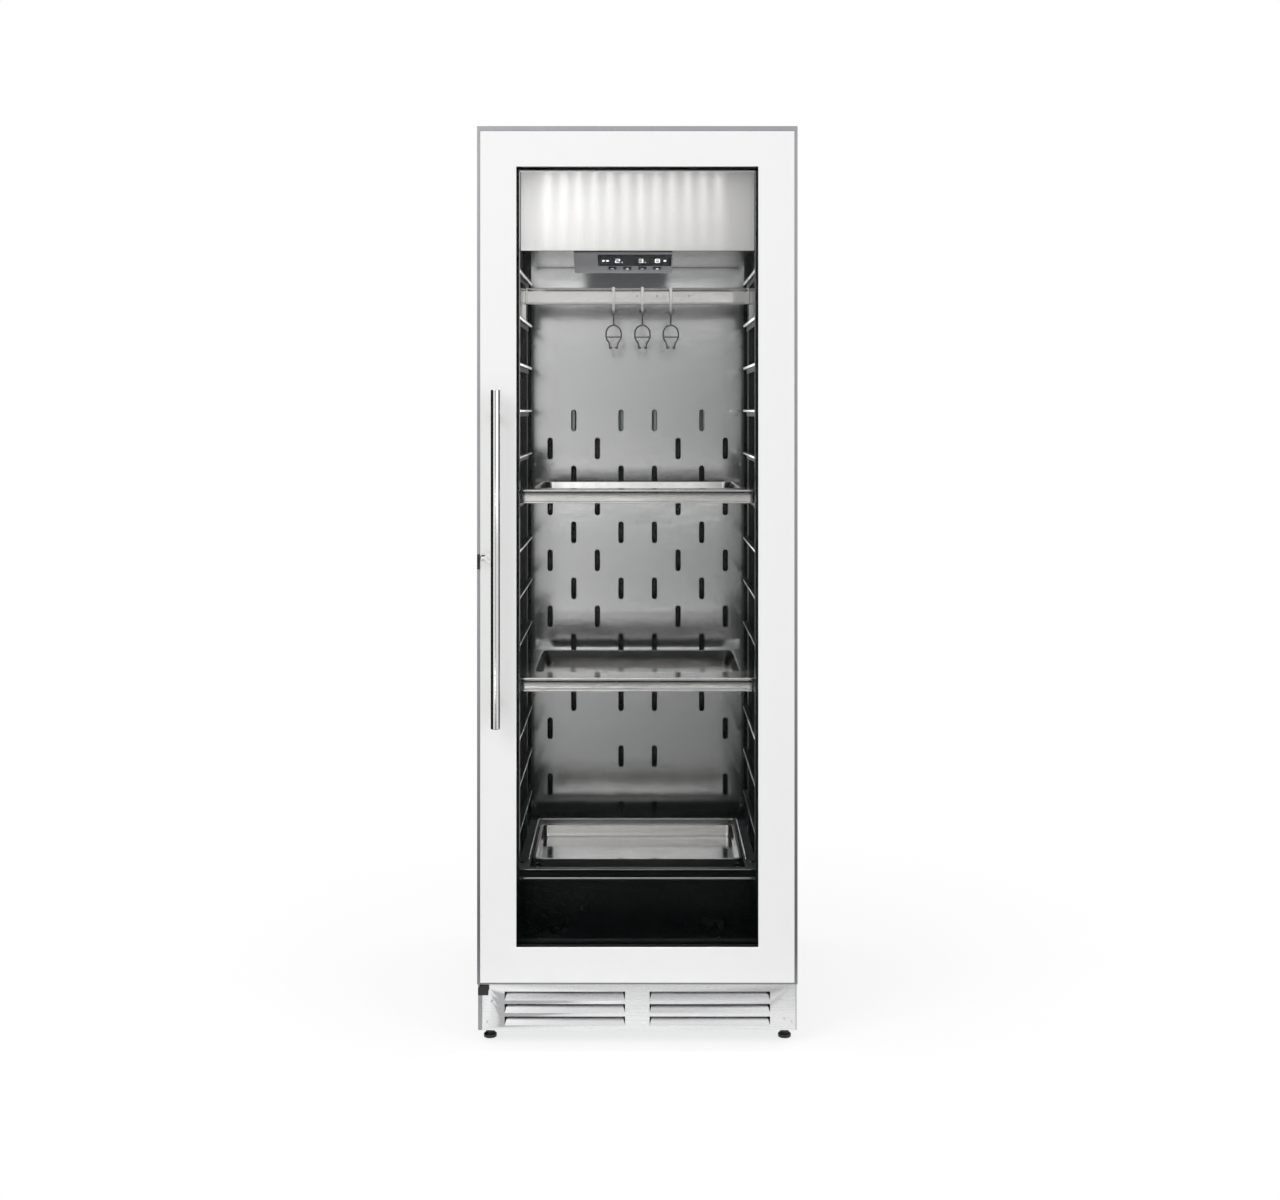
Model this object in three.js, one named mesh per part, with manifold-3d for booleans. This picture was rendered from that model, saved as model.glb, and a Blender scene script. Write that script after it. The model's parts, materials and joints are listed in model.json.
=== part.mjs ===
// A tall built-in dry aging cabinet: insulated casing, glass door, shelf rails, pan shelves,
// hanging bar with meat hooks, drip tray, slotted back duct and a cooling set in the base.
// Millimetres, +Z up, the front faces -Y. The origin is the middle of the footprint, on the floor.
import * as THREE from 'three';
import { mergeVertices } from 'three/addons/utils/BufferGeometryUtils.js';
import Module from 'manifold-3d';

const wasm = await Module();
wasm.setup();

// Overall size
const cabinetWidth = 598;
const cabinetHeight = 1720;
const cabinetDepth = 680; // front of the door to the back
const handleReach = 42; // front of the handle to the front of the door
const footHeight = 26; // floor to the underside of the base

// Clearances
const fitGap = 0.3; // between pieces that touch
const turnGap = 0.8; // round a piece that turns or slides
const cutOverrun = 5;

// Casing, liner and insulation
const casingSheet = 1.5;
const wallThickness = 51; // outside of the casing to the inside of the liner
const ceilingThickness = 48;
const backThickness = 55;
const linerThickness = 2;
const sillHeight = 118; // floor to the lower edge of the casing's front frame
const wellFloorHeight = 150; // floor to the liner's floor behind the door
const wellDepth = 120; // casing front to the raised floor's front
const raisedFloorHeight = 280;
const bayRoofThickness = 43; // raised floor to the compressor bay's roof
const bayWallThickness = 45; // raised floor's front to the bay's front wall
const sealGap = 6; // back of the door to the front of the casing

// Door
const doorThickness = 43;
const doorLift = 0.5; // sill to the door's lower edge
const trimSide = 5.5;
const trimTop = 9;
const trimBottom = 3;
const frontPanelThickness = 4;
const glassSideMargin = 73; // door edge to the edge of the front panel's window
const glassTopMargin = 75;
const glassBottomMargin = 68.5;
const coreShow = 4; // how far the core stands into the window
const glassSeat = 10; // how far the glass runs under the front panel
const paneThickness = 4;
const spacerThickness = 16;
const spacerWidth = 9;
const gasketWidth = 14;
const gasketInset = 29; // door edge to the gasket's outer edge
const gasketBottomInset = 8.5;
const gasketTopInset = 23;

// Door hinge
const hingeInset = 12; // door edge to the hinge axis
const hingeSetback = 15; // back of the door to the hinge axis
const hingePinRadius = 3.5;
const hingePinLength = 22;
const hingePlate = 4;
const lowerHingePlate = 3;
const hingeTongueHalf = 9;
const hingePlateWidth = 58;
const hingePlateReach = 50; // how far the plate runs back over the casing
const lowerPlateReach = 34;
const hingeSwingRoom = 5; // extra room in front of the tongue when the door is wide open

// Handle
const handleRadius = 8.75;
const handleLength = 627.5;
const handleCentreHeight = 914.25;
const handleInset = 37; // door edge to the handle's centre line
const postRadius = 6;
const postInset = 50; // handle end to the post

// Lock
const lockInset = 11; // door edge to the lock's axis
const lockHeight = 915;
const lockBarrelRadius = 5;
const lockBarrelProud = 2.5;
const keyShankRadius = 2.2;
const keyProud = 14; // front of the door to the front of the key
const keyThickness = 2.5;
const keyBowWidth = 13;
const keyBowHeight = 19;
const keyBowHole = 7;
const keyHoleShift = 1; // the hole's middle, from the bow's, away from the shank
const keyNeckHalf = 3;
const camThickness = 2.5;
const camHalfWidth = 4.5;
const camLength = 15;
const camTail = 6;
const lockPlateHeight = 28;
const lockPlateLower = 8; // how far the plate's middle lies below the lock's axis
const lockPlateThickness = 1.7;

// Base: grille, plinth, pan and feet
const grilleSetback = 20; // front of the door to the front of the grille
const grilleSheet = 1.5;
const grilleDrop = 3.6; // sill to the grille's upper edge
const plinthStrip = 7.5;
const grilleEndPlate = 48; // width of plain sheet beside the louvres, on the hinge side
const grillePostHalf = 23;
const louvreCount = 3;
const louvrePitch = 23.4;
const louvreHeight = 15.6;
const louvreFirst = 10; // base to the lowest louvre's sill
const louvreDepth = 11;
const louvreSheet = 1.2;
const louvreEndSlope = 5;
const plinthFlangeReach = 30;
const plinthFlangeFirst = 19; // base to the lower edge of the flange
const capSize = 19.5;
const capThickness = 3.7;
const capStep = 3;
const capDrop = 6; // sill to the cap's upper edge
const panSheet = 1.5;
const panRim = 12;
const footInset = 19.5; // casing side to the foot's axis
const footFrontInset = 40; // grille front to the front foot's axis
const footRearInset = 41;
const footPadRadius = 12.5;
const footPadHeight = 7;
const footNeckRadius = 8;
const footStemRadius = 4.5;
const footStemRise = 18;

// Cooling set in the bay
const compressorOffset = 125; // middle of the cabinet to the compressor, towards the handle side
const compressorRearInset = 130;
const compressorRadius = 78;
const compressorHeight = 150;
const compressorLegHeight = 14;
const compressorLegRadius = 9;
const compressorPlateHalfX = 85;
const compressorPlateHalfY = 65;
const compressorPlate = 3;
const condenserHalf = 150;
const condenserDepth = 40;
const condenserHeight = 165;
const condenserSetback = 15; // bay front to the condenser
const condenserFinCount = 26;
const finSpine = 4;
const finShare = 0.45; // share of the fin pitch that is metal
const shroudDepth = 24;
const shroudSheet = 1.5;
const fanRadius = 62;
const fanHubRadius = 18;
const fanHubDepth = 16;
const fanBladeThickness = 1.6;
const fanBladeRootHalf = 11;
const fanBladeTipHalf = 20;
const fanBladeCount = 5;
const fanMotorRadius = 21;
const fanMotorDepth = 26;
const motorBarHalf = 9;
const motorBarThickness = 3;
const rearSlotCount = 7;
const rearSlotPitch = 20;
const rearSlotHeight = 4;
const rearSlotHalf = 110;
const rearSlotOffset = 105; // middle of the cabinet to the slots' middle
const rearSlotFirst = 40;
const inletOffset = 230; // middle of the cabinet to the inlet's middle
const inletRise = 70;
const inletHalfWidth = 15;
const inletHalfHeight = 11;
const inletDepth = 22;
const inletFlange = 4;
const inletSocketWall = 3;
const inletSocketDepth = 16;
const inletPinRadius = 1.6;
const inletPinPitch = 7;
const inletFlangeThickness = 1.2;

// Back duct, evaporator and its fan
const ductSheet = 1.5;
const ductDepth = 64; // front of the slotted panel to the liner's back
const ductSideGap = 14;
const slotWidth = 12;
const slotLength = 48;
const slotFirstRow = 27; // raised floor to the lowest slot's middle
const slotRowPitch = 61.5;
const slotRowCount = 15;
const slotColumnCount = 4; // on each side of the middle
const slotFirstColumn = 36.7;
const slotEdgeMargin = 41.5;
const ductFanGap = 8; // between the fan's blades and the edge of the duct's round hole
const evaporatorHalf = 180;
const evaporatorDepth = 45;
const evaporatorHeight = 330;
const evaporatorTopGap = 210; // ceiling to the evaporator
const evaporatorFinCount = 30;

// Top module, lamp strip and controls
const moduleSheet = 1.5;
const moduleSideGap = 18.5;
const moduleHeight = 165;
const moduleSetback = 115; // casing front to the module's front
const lampSetback = 55;
const lampHalf = 188;
const lampHalfWidth = 6;
const lampThickness = 6;
const lampCount = 12;
const lampPitch = 31;
const lampShift = -9; // the row's middle, from the cabinet's middle
const lampRadius = 3;
const lampProud = 2;
const podShift = -28.5; // the pod's middle, from the cabinet's middle
const podHalf = 97.5;
const podSetback = 10; // module front to the pod's front
const podLip = 3.5;
const podDrop = 35;
const podSlopeRun = 84;
const podTailRun = 11;
const displayShift = 23; // the display's middle, from the pod's middle
const displayHalf = 73;
const displayStart = 6; // along the slope, from its upper edge
const displayRun = 50;
const displayThickness = 1.4;
const keyCount = 4;
const keyPitch = 30;
const keyHalf = 8;
const keyRun = 11;
const keyStart = 63;
const keyProudOut = 1.6;
const keyDeep = 4;
const keyTravel = 1;

// Shelf rails
const railPitch = 90.25;
const railFirst = 9; // raised floor to the lowest rail's top
const railSheet = 1.5;
const railReach = 22.5; // liner wall to the rail's inner edge
const railLength = 369;
const railDrop = 14;
const railPostHalf = 10;
const railPostDepth = 14; // liner wall to the post's face
const railPostInset = 30;
const railTopRoom = 22; // room above the highest rail

// Shelves and drip tray
const shelfSetback = 41; // casing front to the shelf's front
const shelfRearGap = 86; // shelf's rear edge to the slotted panel
const shelfSideGap = 18; // liner wall to the shelf's side
const shelfSheet = 1.5;
const channelHeight = 26;
const channelDepth = 10;
const shelfFrontRim = 74; // shelf's front to its pan
const shelfSideRim = 28;
const shelfRearRim = 6;
const shelfPanDepth = 21; // top of the rim to the pan's underside
const upperShelfRail = 8;
const middleShelfRail = 4;
const frameHeight = 21.5;
const frameStrip = 22;
const frameRearStrip = 58;
const crossBarHalf = 8;
const crossBarOffset = 150;
const crossBarHeight = 2;
const trayFrontGap = 43; // channel's back to the tray's lip
const trayRearGap = 64;
const traySideGap = 31; // shelf's side to the tray's wall
const trayHeight = 25;
const traySheet = 1.2;
const trayLip = 5;
const guardRadius = 2.5;
const guardGap = 5; // tray lip to the guard wire
const guardRise = 30; // frame's underside to the wire's middle
const guardBend = 16;

// Hanging bar, saddles and hooks
const barSetback = 210; // shelf's front to the bar's front
const barHeight = 35;
const barDepth = 12;
const barSheet = 1.5;
const barSideGap = 8;
const barLegHeight = 33;
const barLegWidth = 12;
const hookPlaces = [-49, 10, 68];
const saddleWidth = 6;
const saddleSheet = 1.5;
const saddleLug = 9;
const saddleEye = 2.4;
const hookWire = 1.6;
const hookEyeHalf = 5.5;
const hookEyeDrop = 13;
const hookStemLength = 22;
const hookShoulderHalf = 15.5;
const hookShoulderDrop = 20;
const hookFlank = 7;
const hookWaistHalf = 7;
const hookWaistDrop = 12;
const hookTipHalf = 3;
const hookTipDrop = 10;
const hookTipRise = 6;

// Round shapes: sides of the polygons
const fineSides = 24;
const roundSides = 16;
const wireSides = 6;
const slotArcSteps = 3;
const wireStepsPerBend = 3;

// Places worked out from the sizes
const halfWidth = cabinetWidth / 2;
const handleFrontY = -(cabinetDepth + handleReach) / 2;
const doorFrontY = handleFrontY + handleReach;
const doorBackY = doorFrontY + doorThickness;
const casingFrontY = doorBackY + sealGap;
const backY = doorFrontY + cabinetDepth;
const casingTopZ = cabinetHeight - hingePlate;
const innerHalf = halfWidth - casingSheet - fitGap;
const cavityHalf = halfWidth - wallThickness;
const cavityTopZ = casingTopZ - ceilingThickness;
const cavityBackY = backY - backThickness;
const raisedFrontY = casingFrontY + wellDepth;
const bayRoofZ = raisedFloorHeight - bayRoofThickness;
const bayFrontY = raisedFrontY + bayWallThickness;
const frameBackY = casingFrontY + casingSheet + fitGap;
const rearInsideY = backY - casingSheet - fitGap;
const ductY = cavityBackY - ductDepth;
const ductHalf = cavityHalf - ductSideGap;
const moduleHalf = cavityHalf - moduleSideGap;
const moduleFrontY = casingFrontY + moduleSetback;
const moduleBottomZ = cavityTopZ - moduleHeight;
const railFirstZ = raisedFloorHeight + railFirst;
const railCount = 1 + Math.floor((moduleBottomZ - railTopRoom - railFirstZ) / railPitch);
const shelfHalf = cavityHalf - shelfSideGap;
const shelfFrontY = casingFrontY + shelfSetback;
const shelfDepth = ductY - shelfRearGap - shelfFrontY;
const barY = shelfFrontY + barSetback;
const grilleFrontY = doorFrontY + grilleSetback;
const grilleTopZ = sillHeight - grilleDrop;
const panTopZ = footHeight + panSheet;
const hingeX = halfWidth - hingeInset;
const hingeY = doorBackY - hingeSetback;
const lockX = -halfWidth + lockInset;
const handleX = -halfWidth + handleInset;

// Finishes
function finish(color, roughness, metalness, extra = {}) {
  return new THREE.MeshStandardMaterial({ color, roughness, metalness, ...extra });
}
const brushedSteel = finish(0xb9b9b7, 0.32, 1);
const polishedSteel = finish(0xd6d6d4, 0.12, 1);
const edgeSteel = finish(0xa6a6a8, 0.35, 1);
const whiteLacquer = finish(0xefefef, 0.3, 0);
const blackPlastic = finish(0x101010, 0.5, 0);
const linerPlastic = finish(0x1c1c1e, 0.4, 0);
const casingPaint = finish(0x8f9092, 0.4, 0.6);
const foam = finish(0xd9cfa8, 0.9, 0);
const clearGlass = finish(0xe8f0f0, 0.05, 0, { transparent: true, opacity: 0.2 });
const blackRubber = finish(0x141414, 0.8, 0);
const compressorPaint = finish(0x1a1a1a, 0.45, 0.2);
const finAluminium = finish(0xb4b8ba, 0.45, 1);
const galvanised = finish(0x9a9fa2, 0.5, 0.9);
const darkGlass = finish(0x0a0b0d, 0.1, 0);
const lampLens = finish(0xfafaf2, 0.3, 0);

// A closed geometry as a solid that can be joined and cut
function solid(geometry) {
  geometry.deleteAttribute('normal');
  geometry.deleteAttribute('uv');
  const merged = mergeVertices(geometry);
  return new wasm.Manifold(new wasm.Mesh({
    numProp: 3,
    vertProperties: merged.attributes.position.array,
    triVerts: new Uint32Array(merged.index.array),
  }));
}

function join(first, ...others) {
  return others.reduce((sum, shape) => sum.add(shape), first);
}

function cut(first, ...others) {
  return others.reduce((sum, shape) => sum.subtract(shape), first);
}

function block(x0, x1, y0, y1, z0, z1) {
  const geometry = new THREE.BoxGeometry(x1 - x0, y1 - y0, z1 - z0);
  geometry.translate((x0 + x1) / 2, (y0 + y1) / 2, (z0 + z1) / 2);
  return solid(geometry);
}

// A round bar along X, Y or Z from one place to another, with its axis at (a, b) of the other two
function bar(axis, radius, from, to, a, b, sides = roundSides) {
  const geometry = new THREE.CylinderGeometry(radius, radius, to - from, sides);
  const middle = (from + to) / 2;
  if (axis === 'x') {
    geometry.rotateZ(-Math.PI / 2);
    geometry.translate(middle, a, b);
  } else if (axis === 'y') {
    geometry.translate(a, middle, b);
  } else {
    geometry.rotateX(Math.PI / 2);
    geometry.translate(a, b, middle);
  }
  return solid(geometry);
}

function outline(points) {
  return new THREE.Shape(points.map(([u, v]) => new THREE.Vector2(u, v)));
}

const alongX = new THREE.Matrix4().makeBasis(
  new THREE.Vector3(0, 1, 0), new THREE.Vector3(0, 0, 1), new THREE.Vector3(1, 0, 0));
const alongY = new THREE.Matrix4().makeBasis(
  new THREE.Vector3(1, 0, 0), new THREE.Vector3(0, 0, 1), new THREE.Vector3(0, -1, 0));

// A (y, z) outline run along X
function prismX(points, x0, x1) {
  const geometry = new THREE.ExtrudeGeometry(outline(points), { depth: x1 - x0, bevelEnabled: false });
  geometry.applyMatrix4(alongX);
  geometry.translate(x0, 0, 0);
  return solid(geometry);
}

// An (x, z) outline run along Y
function prismY(points, y0, y1) {
  const geometry = new THREE.ExtrudeGeometry(outline(points), { depth: y1 - y0, bevelEnabled: false });
  geometry.applyMatrix4(alongY);
  geometry.translate(0, y1, 0);
  return solid(geometry);
}

// An (x, y) outline run along Z
function prismZ(points, z0, z1) {
  const geometry = new THREE.ExtrudeGeometry(outline(points), { depth: z1 - z0, bevelEnabled: false });
  geometry.translate(0, 0, z0);
  return solid(geometry);
}

// A path whose straight pieces take one step and whose bends take a few
class WirePath extends THREE.Curve {
  constructor(pieces) {
    super();
    this.pieces = pieces;
    this.steps = pieces.reduce((sum, piece) => sum + piece.steps, 0);
  }

  getUtoTmapping(u) {
    return u;
  }

  getPoint(t, target = new THREE.Vector3()) {
    let left = t * this.steps;
    for (const { curve, steps } of this.pieces) {
      if (left <= steps) {
        return curve.getPoint(left / steps, target);
      }
      left -= steps;
    }
    return this.pieces[this.pieces.length - 1].curve.getPoint(1, target);
  }
}

// A round wire through corners, each one rounded over the length of bend
function wire(corners, radius, bend) {
  const places = corners.map(([x, y, z]) => new THREE.Vector3(x, y, z));
  const pieces = [];
  let start = places[0];
  for (let i = 1; i < places.length - 1; i += 1) {
    const before = places[i].clone().lerp(places[i - 1], bend / places[i].distanceTo(places[i - 1]));
    const after = places[i].clone().lerp(places[i + 1], bend / places[i].distanceTo(places[i + 1]));
    pieces.push({ curve: new THREE.LineCurve3(start, before), steps: 1 });
    pieces.push({ curve: new THREE.QuadraticBezierCurve3(before, places[i], after), steps: wireStepsPerBend });
    start = after;
  }
  pieces.push({ curve: new THREE.LineCurve3(start, places[places.length - 1]), steps: 1 });
  const section = [];
  for (let i = 0; i < wireSides; i += 1) {
    const angle = (2 * Math.PI * i) / wireSides;
    section.push([radius * Math.cos(angle), radius * Math.sin(angle)]);
  }
  const path = new WirePath(pieces);
  const geometry = new THREE.ExtrudeGeometry(outline(section),
    { steps: path.steps, extrudePath: path, bevelEnabled: false });
  return solid(geometry);
}

function place(parent, name, shape, material, x = 0, y = 0, z = 0) {
  const data = shape.getMesh();
  const geometry = new THREE.BufferGeometry();
  geometry.setAttribute('position', new THREE.BufferAttribute(data.vertProperties, data.numProp));
  geometry.setIndex(new THREE.BufferAttribute(data.triVerts, 1));
  geometry.computeVertexNormals();
  const mesh = new THREE.Mesh(geometry, material);
  mesh.name = name;
  mesh.position.set(x, y, z);
  parent.add(mesh);
  return mesh;
}

const cabinet = new THREE.Group();

// The store room's side view, grown outwards by a given amount, with a step up to the raised floor
function roomOutline(grow, frontY) {
  return [
    [frontY, wellFloorHeight - grow],
    [raisedFrontY + grow, wellFloorHeight - grow],
    [raisedFrontY + grow, raisedFloorHeight - grow],
    [cavityBackY + grow, raisedFloorHeight - grow],
    [cavityBackY + grow, cavityTopZ + grow],
    [frontY, cavityTopZ + grow],
  ];
}

function roomSolid(grow, frontY) {
  return prismX(roomOutline(grow, frontY), -cavityHalf - grow, cavityHalf + grow);
}

// Casing: both sides, the top and the front frame that the door seals on
function casing() {
  const inside = halfWidth - casingSheet;
  return cut(
    block(-halfWidth, halfWidth, casingFrontY, backY, footHeight, casingTopZ),
    block(-inside, inside, casingFrontY + casingSheet, backY + cutOverrun,
      footHeight - cutOverrun, casingTopZ - casingSheet),
    block(-inside, inside, casingFrontY - cutOverrun, casingFrontY + casingSheet + cutOverrun,
      footHeight - cutOverrun, sillHeight),
    block(-cavityHalf, cavityHalf, casingFrontY - cutOverrun, casingFrontY + casingSheet + cutOverrun,
      wellFloorHeight, cavityTopZ),
  );
}

// The skin over the compressor bay: a low shelf in front, a wall and a roof
function baySkin() {
  const low = sillHeight;
  const high = bayRoofZ;
  return prismX([
    [frameBackY, low],
    [bayFrontY, low],
    [bayFrontY, high],
    [rearInsideY, high],
    [rearInsideY, high + casingSheet],
    [bayFrontY - casingSheet, high + casingSheet],
    [bayFrontY - casingSheet, low + casingSheet],
    [frameBackY, low + casingSheet],
  ], -innerHalf, innerHalf);
}

function insulation() {
  const lift = casingSheet + fitGap;
  return cut(
    prismX([
      [frameBackY, sillHeight + lift],
      [bayFrontY - lift, sillHeight + lift],
      [bayFrontY - lift, bayRoofZ + lift],
      [rearInsideY, bayRoofZ + lift],
      [rearInsideY, casingTopZ - lift],
      [frameBackY, casingTopZ - lift],
    ], -innerHalf, innerHalf),
    roomSolid(linerThickness + fitGap, frameBackY - cutOverrun),
  );
}

function liner() {
  return cut(roomSolid(linerThickness, frameBackY), roomSolid(0, frameBackY - cutOverrun));
}

function rearPanel() {
  return block(-innerHalf, innerHalf, backY - casingSheet, backY,
    bayRoofZ + fitGap, casingTopZ - casingSheet - fitGap);
}

function rearCover() {
  const shape = [block(-innerHalf, innerHalf, backY - casingSheet, backY, panTopZ + fitGap, bayRoofZ)];
  for (let i = 0; i < rearSlotCount; i += 1) {
    const z = footHeight + rearSlotFirst + i * rearSlotPitch;
    shape.push(block(-rearSlotOffset - rearSlotHalf, rearSlotHalf - rearSlotOffset,
      backY - casingSheet - cutOverrun, backY + cutOverrun, z, z + rearSlotHeight));
  }
  shape.push(block(inletOffset - inletHalfWidth - fitGap, inletOffset + inletHalfWidth + fitGap,
    backY - casingSheet - cutOverrun, backY + cutOverrun,
    footHeight + inletRise - inletHalfHeight - fitGap, footHeight + inletRise + inletHalfHeight + fitGap));
  return cut(...shape);
}

// A three-pin inlet that sits in the rear cover, its flange inside the cover
function powerInlet() {
  const mouth = inletHalfWidth - inletSocketWall;
  const mouthHeight = inletHalfHeight - inletSocketWall;
  const flangeY = backY - casingSheet - fitGap;
  const body = join(
    block(-inletHalfWidth, inletHalfWidth, backY - inletDepth, backY, -inletHalfHeight, inletHalfHeight),
    block(-inletHalfWidth - inletFlange, inletHalfWidth + inletFlange, flangeY - inletFlangeThickness,
      flangeY, -inletHalfHeight - inletFlange, inletHalfHeight + inletFlange),
  );
  const socket = cut(body, block(-mouth, mouth, backY - inletSocketDepth, backY + cutOverrun,
    -mouthHeight, mouthHeight));
  const pins = [-1, 0, 1].map((side) => bar('y', inletPinRadius, backY - inletSocketDepth - inletPinRadius,
    backY - inletPinRadius, side * inletPinPitch, 0, wireSides));
  return join(socket, ...pins);
}

place(cabinet, 'outer_casing', casing(), casingPaint);
place(cabinet, 'bay_skin', baySkin(), galvanised);
place(cabinet, 'insulation', insulation(), foam);
place(cabinet, 'inner_liner', liner(), linerPlastic);
place(cabinet, 'rear_panel', rearPanel(), galvanised);
place(cabinet, 'rear_bay_cover', rearCover(), galvanised);
place(cabinet, 'power_inlet', powerInlet(), blackPlastic, inletOffset, 0, footHeight + inletRise);

// Base pan with a rim and a hole for each foot's stem
const footPlaces = [];
for (const [side, front] of [['left', -1], ['right', 1]]) {
  footPlaces.push([`front_${side}`, front * (halfWidth - footInset), grilleFrontY + footFrontInset]);
  footPlaces.push([`rear_${side}`, front * (halfWidth - footInset), backY - footRearInset]);
}

function basePan() {
  const front = casingFrontY + fitGap;
  const pan = cut(
    block(-innerHalf, innerHalf, front, rearInsideY, footHeight, panTopZ + panRim),
    block(-innerHalf + panSheet, innerHalf - panSheet, front + panSheet, rearInsideY - panSheet,
      panTopZ, panTopZ + panRim + cutOverrun),
  );
  const holes = footPlaces.map(([, x, y]) => bar('z', footStemRadius + turnGap,
    footHeight - cutOverrun, panTopZ + cutOverrun, x, y));
  return cut(pan, ...holes);
}

function foot() {
  const profile = [
    [0, 0],
    [footPadRadius, 0],
    [footPadRadius, footPadHeight],
    [footNeckRadius, footPadHeight + (footPadRadius - footNeckRadius)],
    [footNeckRadius, footHeight - fitGap],
    [footStemRadius, footHeight - fitGap],
    [footStemRadius, footHeight + footStemRise],
    [0, footHeight + footStemRise],
  ];
  const geometry = new THREE.LatheGeometry(profile.map(([r, z]) => new THREE.Vector2(r, z)), roundSides);
  geometry.rotateX(Math.PI / 2);
  return solid(geometry);
}

place(cabinet, 'base_pan', basePan(), galvanised);
for (const [name, x, y] of footPlaces) {
  place(cabinet, `foot_${name}`, foot(), blackPlastic, x, y, 0);
}

// Plinth frame: a strip at each front corner, returns along the sides and a bar under the grille
function plinthFrame() {
  const endY = casingFrontY - fitGap;
  const flangeEndY = casingFrontY + plinthFlangeReach;
  const flangeZ = footHeight + plinthFlangeFirst;
  const behindY = grilleFrontY + grilleSheet + fitGap;
  const innerX = halfWidth - casingSheet;
  const flangeX = innerHalf - grilleSheet;
  const rightTopZ = grilleTopZ - grilleSheet - fitGap; // under the grille's upper flange
  return join(
    block(-halfWidth, -halfWidth + plinthStrip, grilleFrontY, grilleFrontY + grilleSheet, footHeight, grilleTopZ),
    block(-halfWidth, -innerX, grilleFrontY, endY, footHeight, grilleTopZ),
    block(-innerHalf, -flangeX, grilleFrontY, flangeEndY, flangeZ, grilleTopZ),
    block(halfWidth - plinthStrip, halfWidth, behindY, behindY + grilleSheet, footHeight, rightTopZ),
    block(innerX, halfWidth, behindY, endY, footHeight, grilleTopZ),
    block(flangeX, innerHalf, behindY, flangeEndY, flangeZ, grilleTopZ),
    block(-halfWidth, halfWidth, behindY, endY, footHeight, footHeight + grilleSheet),
    block(-halfWidth, -halfWidth + plinthStrip, grilleFrontY, endY, footHeight, footHeight + grilleSheet),
  );
}

// A louvre blade: hinged on the sill of its opening and leaning back, shorter at its upper edge
function louvreBlade(x0, x1) {
  const slant = Math.hypot(louvreDepth, louvreHeight - louvreSheet);
  const blade = prismY([
    [x0, -louvreSheet],
    [x1, -louvreSheet],
    [x1 - louvreEndSlope, slant],
    [x0 + louvreEndSlope, slant],
  ], 0, louvreSheet);
  const lean = (Math.atan2(louvreDepth, louvreHeight - louvreSheet) * 180) / Math.PI;
  return blade.rotate([-lean, 0, 0]);
}

function grille() {
  const x0 = -halfWidth + plinthStrip + fitGap;
  const x1 = halfWidth - casingSheet - fitGap;
  const endX = x1 - grilleEndPlate;
  const backEdgeY = casingFrontY - fitGap;
  const plate = [];
  const blades = [];
  for (let i = 0; i < louvreCount; i += 1) {
    const z = footHeight + louvreFirst + i * louvrePitch;
    for (const side of [-1, 1]) {
      const a = Math.min(side * grillePostHalf, side * endX);
      const b = Math.max(side * grillePostHalf, side * endX);
      plate.push(block(a, b, grilleFrontY - cutOverrun, grilleFrontY + grilleSheet + cutOverrun,
        z, z + louvreHeight));
      blades.push(louvreBlade(a, b).translate([0, grilleFrontY, z]));
    }
  }
  const sheet = cut(block(x0, x1, grilleFrontY, grilleFrontY + grilleSheet, footHeight, grilleTopZ), ...plate);
  const topFlange = block(x0, x1 - grilleSheet, grilleFrontY, backEdgeY, grilleTopZ - grilleSheet, grilleTopZ);
  return join(sheet, topFlange, ...blades);
}

// Black cap over the unused hinge place at the plinth's upper left corner
function cornerCap() {
  const top = sillHeight - capDrop;
  const frontY = grilleFrontY - fitGap - capThickness;
  return join(
    block(-halfWidth, -halfWidth + capSize, frontY, grilleFrontY - fitGap, top - capSize, top - capStep * 2),
    block(-halfWidth + capStep, -halfWidth + capSize + capStep / 2, frontY, grilleFrontY - fitGap,
      top - capSize / 2, top),
  );
}

place(cabinet, 'plinth_frame', plinthFrame(), edgeSteel);
place(cabinet, 'front_grille', grille(), brushedSteel);
place(cabinet, 'corner_cap', cornerCap(), blackPlastic);

// Hinge brackets: a plate on the casing, a round-ended tongue over the door and a pin into it
function hingeBracket(plateZ, thickness, reach, plateStartY, pinFrom, pinTo) {
  const plateX = hingeX + hingeTongueHalf - fitGap;
  return join(
    block(plateX - hingePlateWidth, plateX, plateStartY, plateStartY + reach, plateZ, plateZ + thickness),
    block(hingeX - hingeTongueHalf, plateX, hingeY, plateStartY + reach / 2, plateZ, plateZ + thickness),
    bar('z', hingeTongueHalf - fitGap, plateZ, plateZ + thickness, hingeX - fitGap, hingeY, fineSides),
    bar('z', hingePinRadius, pinFrom, pinTo, hingeX, hingeY),
  );
}

const lowerPlateZ = sillHeight - fitGap - lowerHingePlate;
place(cabinet, 'hinge_bracket_upper', hingeBracket(casingTopZ, hingePlate, hingePlateReach, casingFrontY,
  casingTopZ - hingePinLength, casingTopZ + hingePlate / 2), galvanised);
place(cabinet, 'hinge_bracket_lower', hingeBracket(lowerPlateZ, lowerHingePlate, lowerPlateReach,
  casingFrontY + fitGap, lowerPlateZ + lowerHingePlate / 2, sillHeight + hingePinLength), galvanised);

// Fins: a comb of upright plates on a spine, seen from above
function finBlock(halfLength, depth, height, count) {
  const pitch = (2 * halfLength) / count;
  const points = [[halfLength, depth], [-halfLength, depth]];
  for (let i = 0; i < count; i += 1) {
    const x = -halfLength + i * pitch;
    points.push([x, 0]);
    points.push([x + pitch * finShare, 0]);
    if (i < count - 1) {
      points.push([x + pitch * finShare, depth - finSpine]);
      points.push([x + pitch, depth - finSpine]);
    }
  }
  points.push([-halfLength + (count - 1 + finShare) * pitch, depth - finSpine]);
  points.push([halfLength, depth - finSpine]);
  return prismZ(points.reverse(), 0, height);
}

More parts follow.
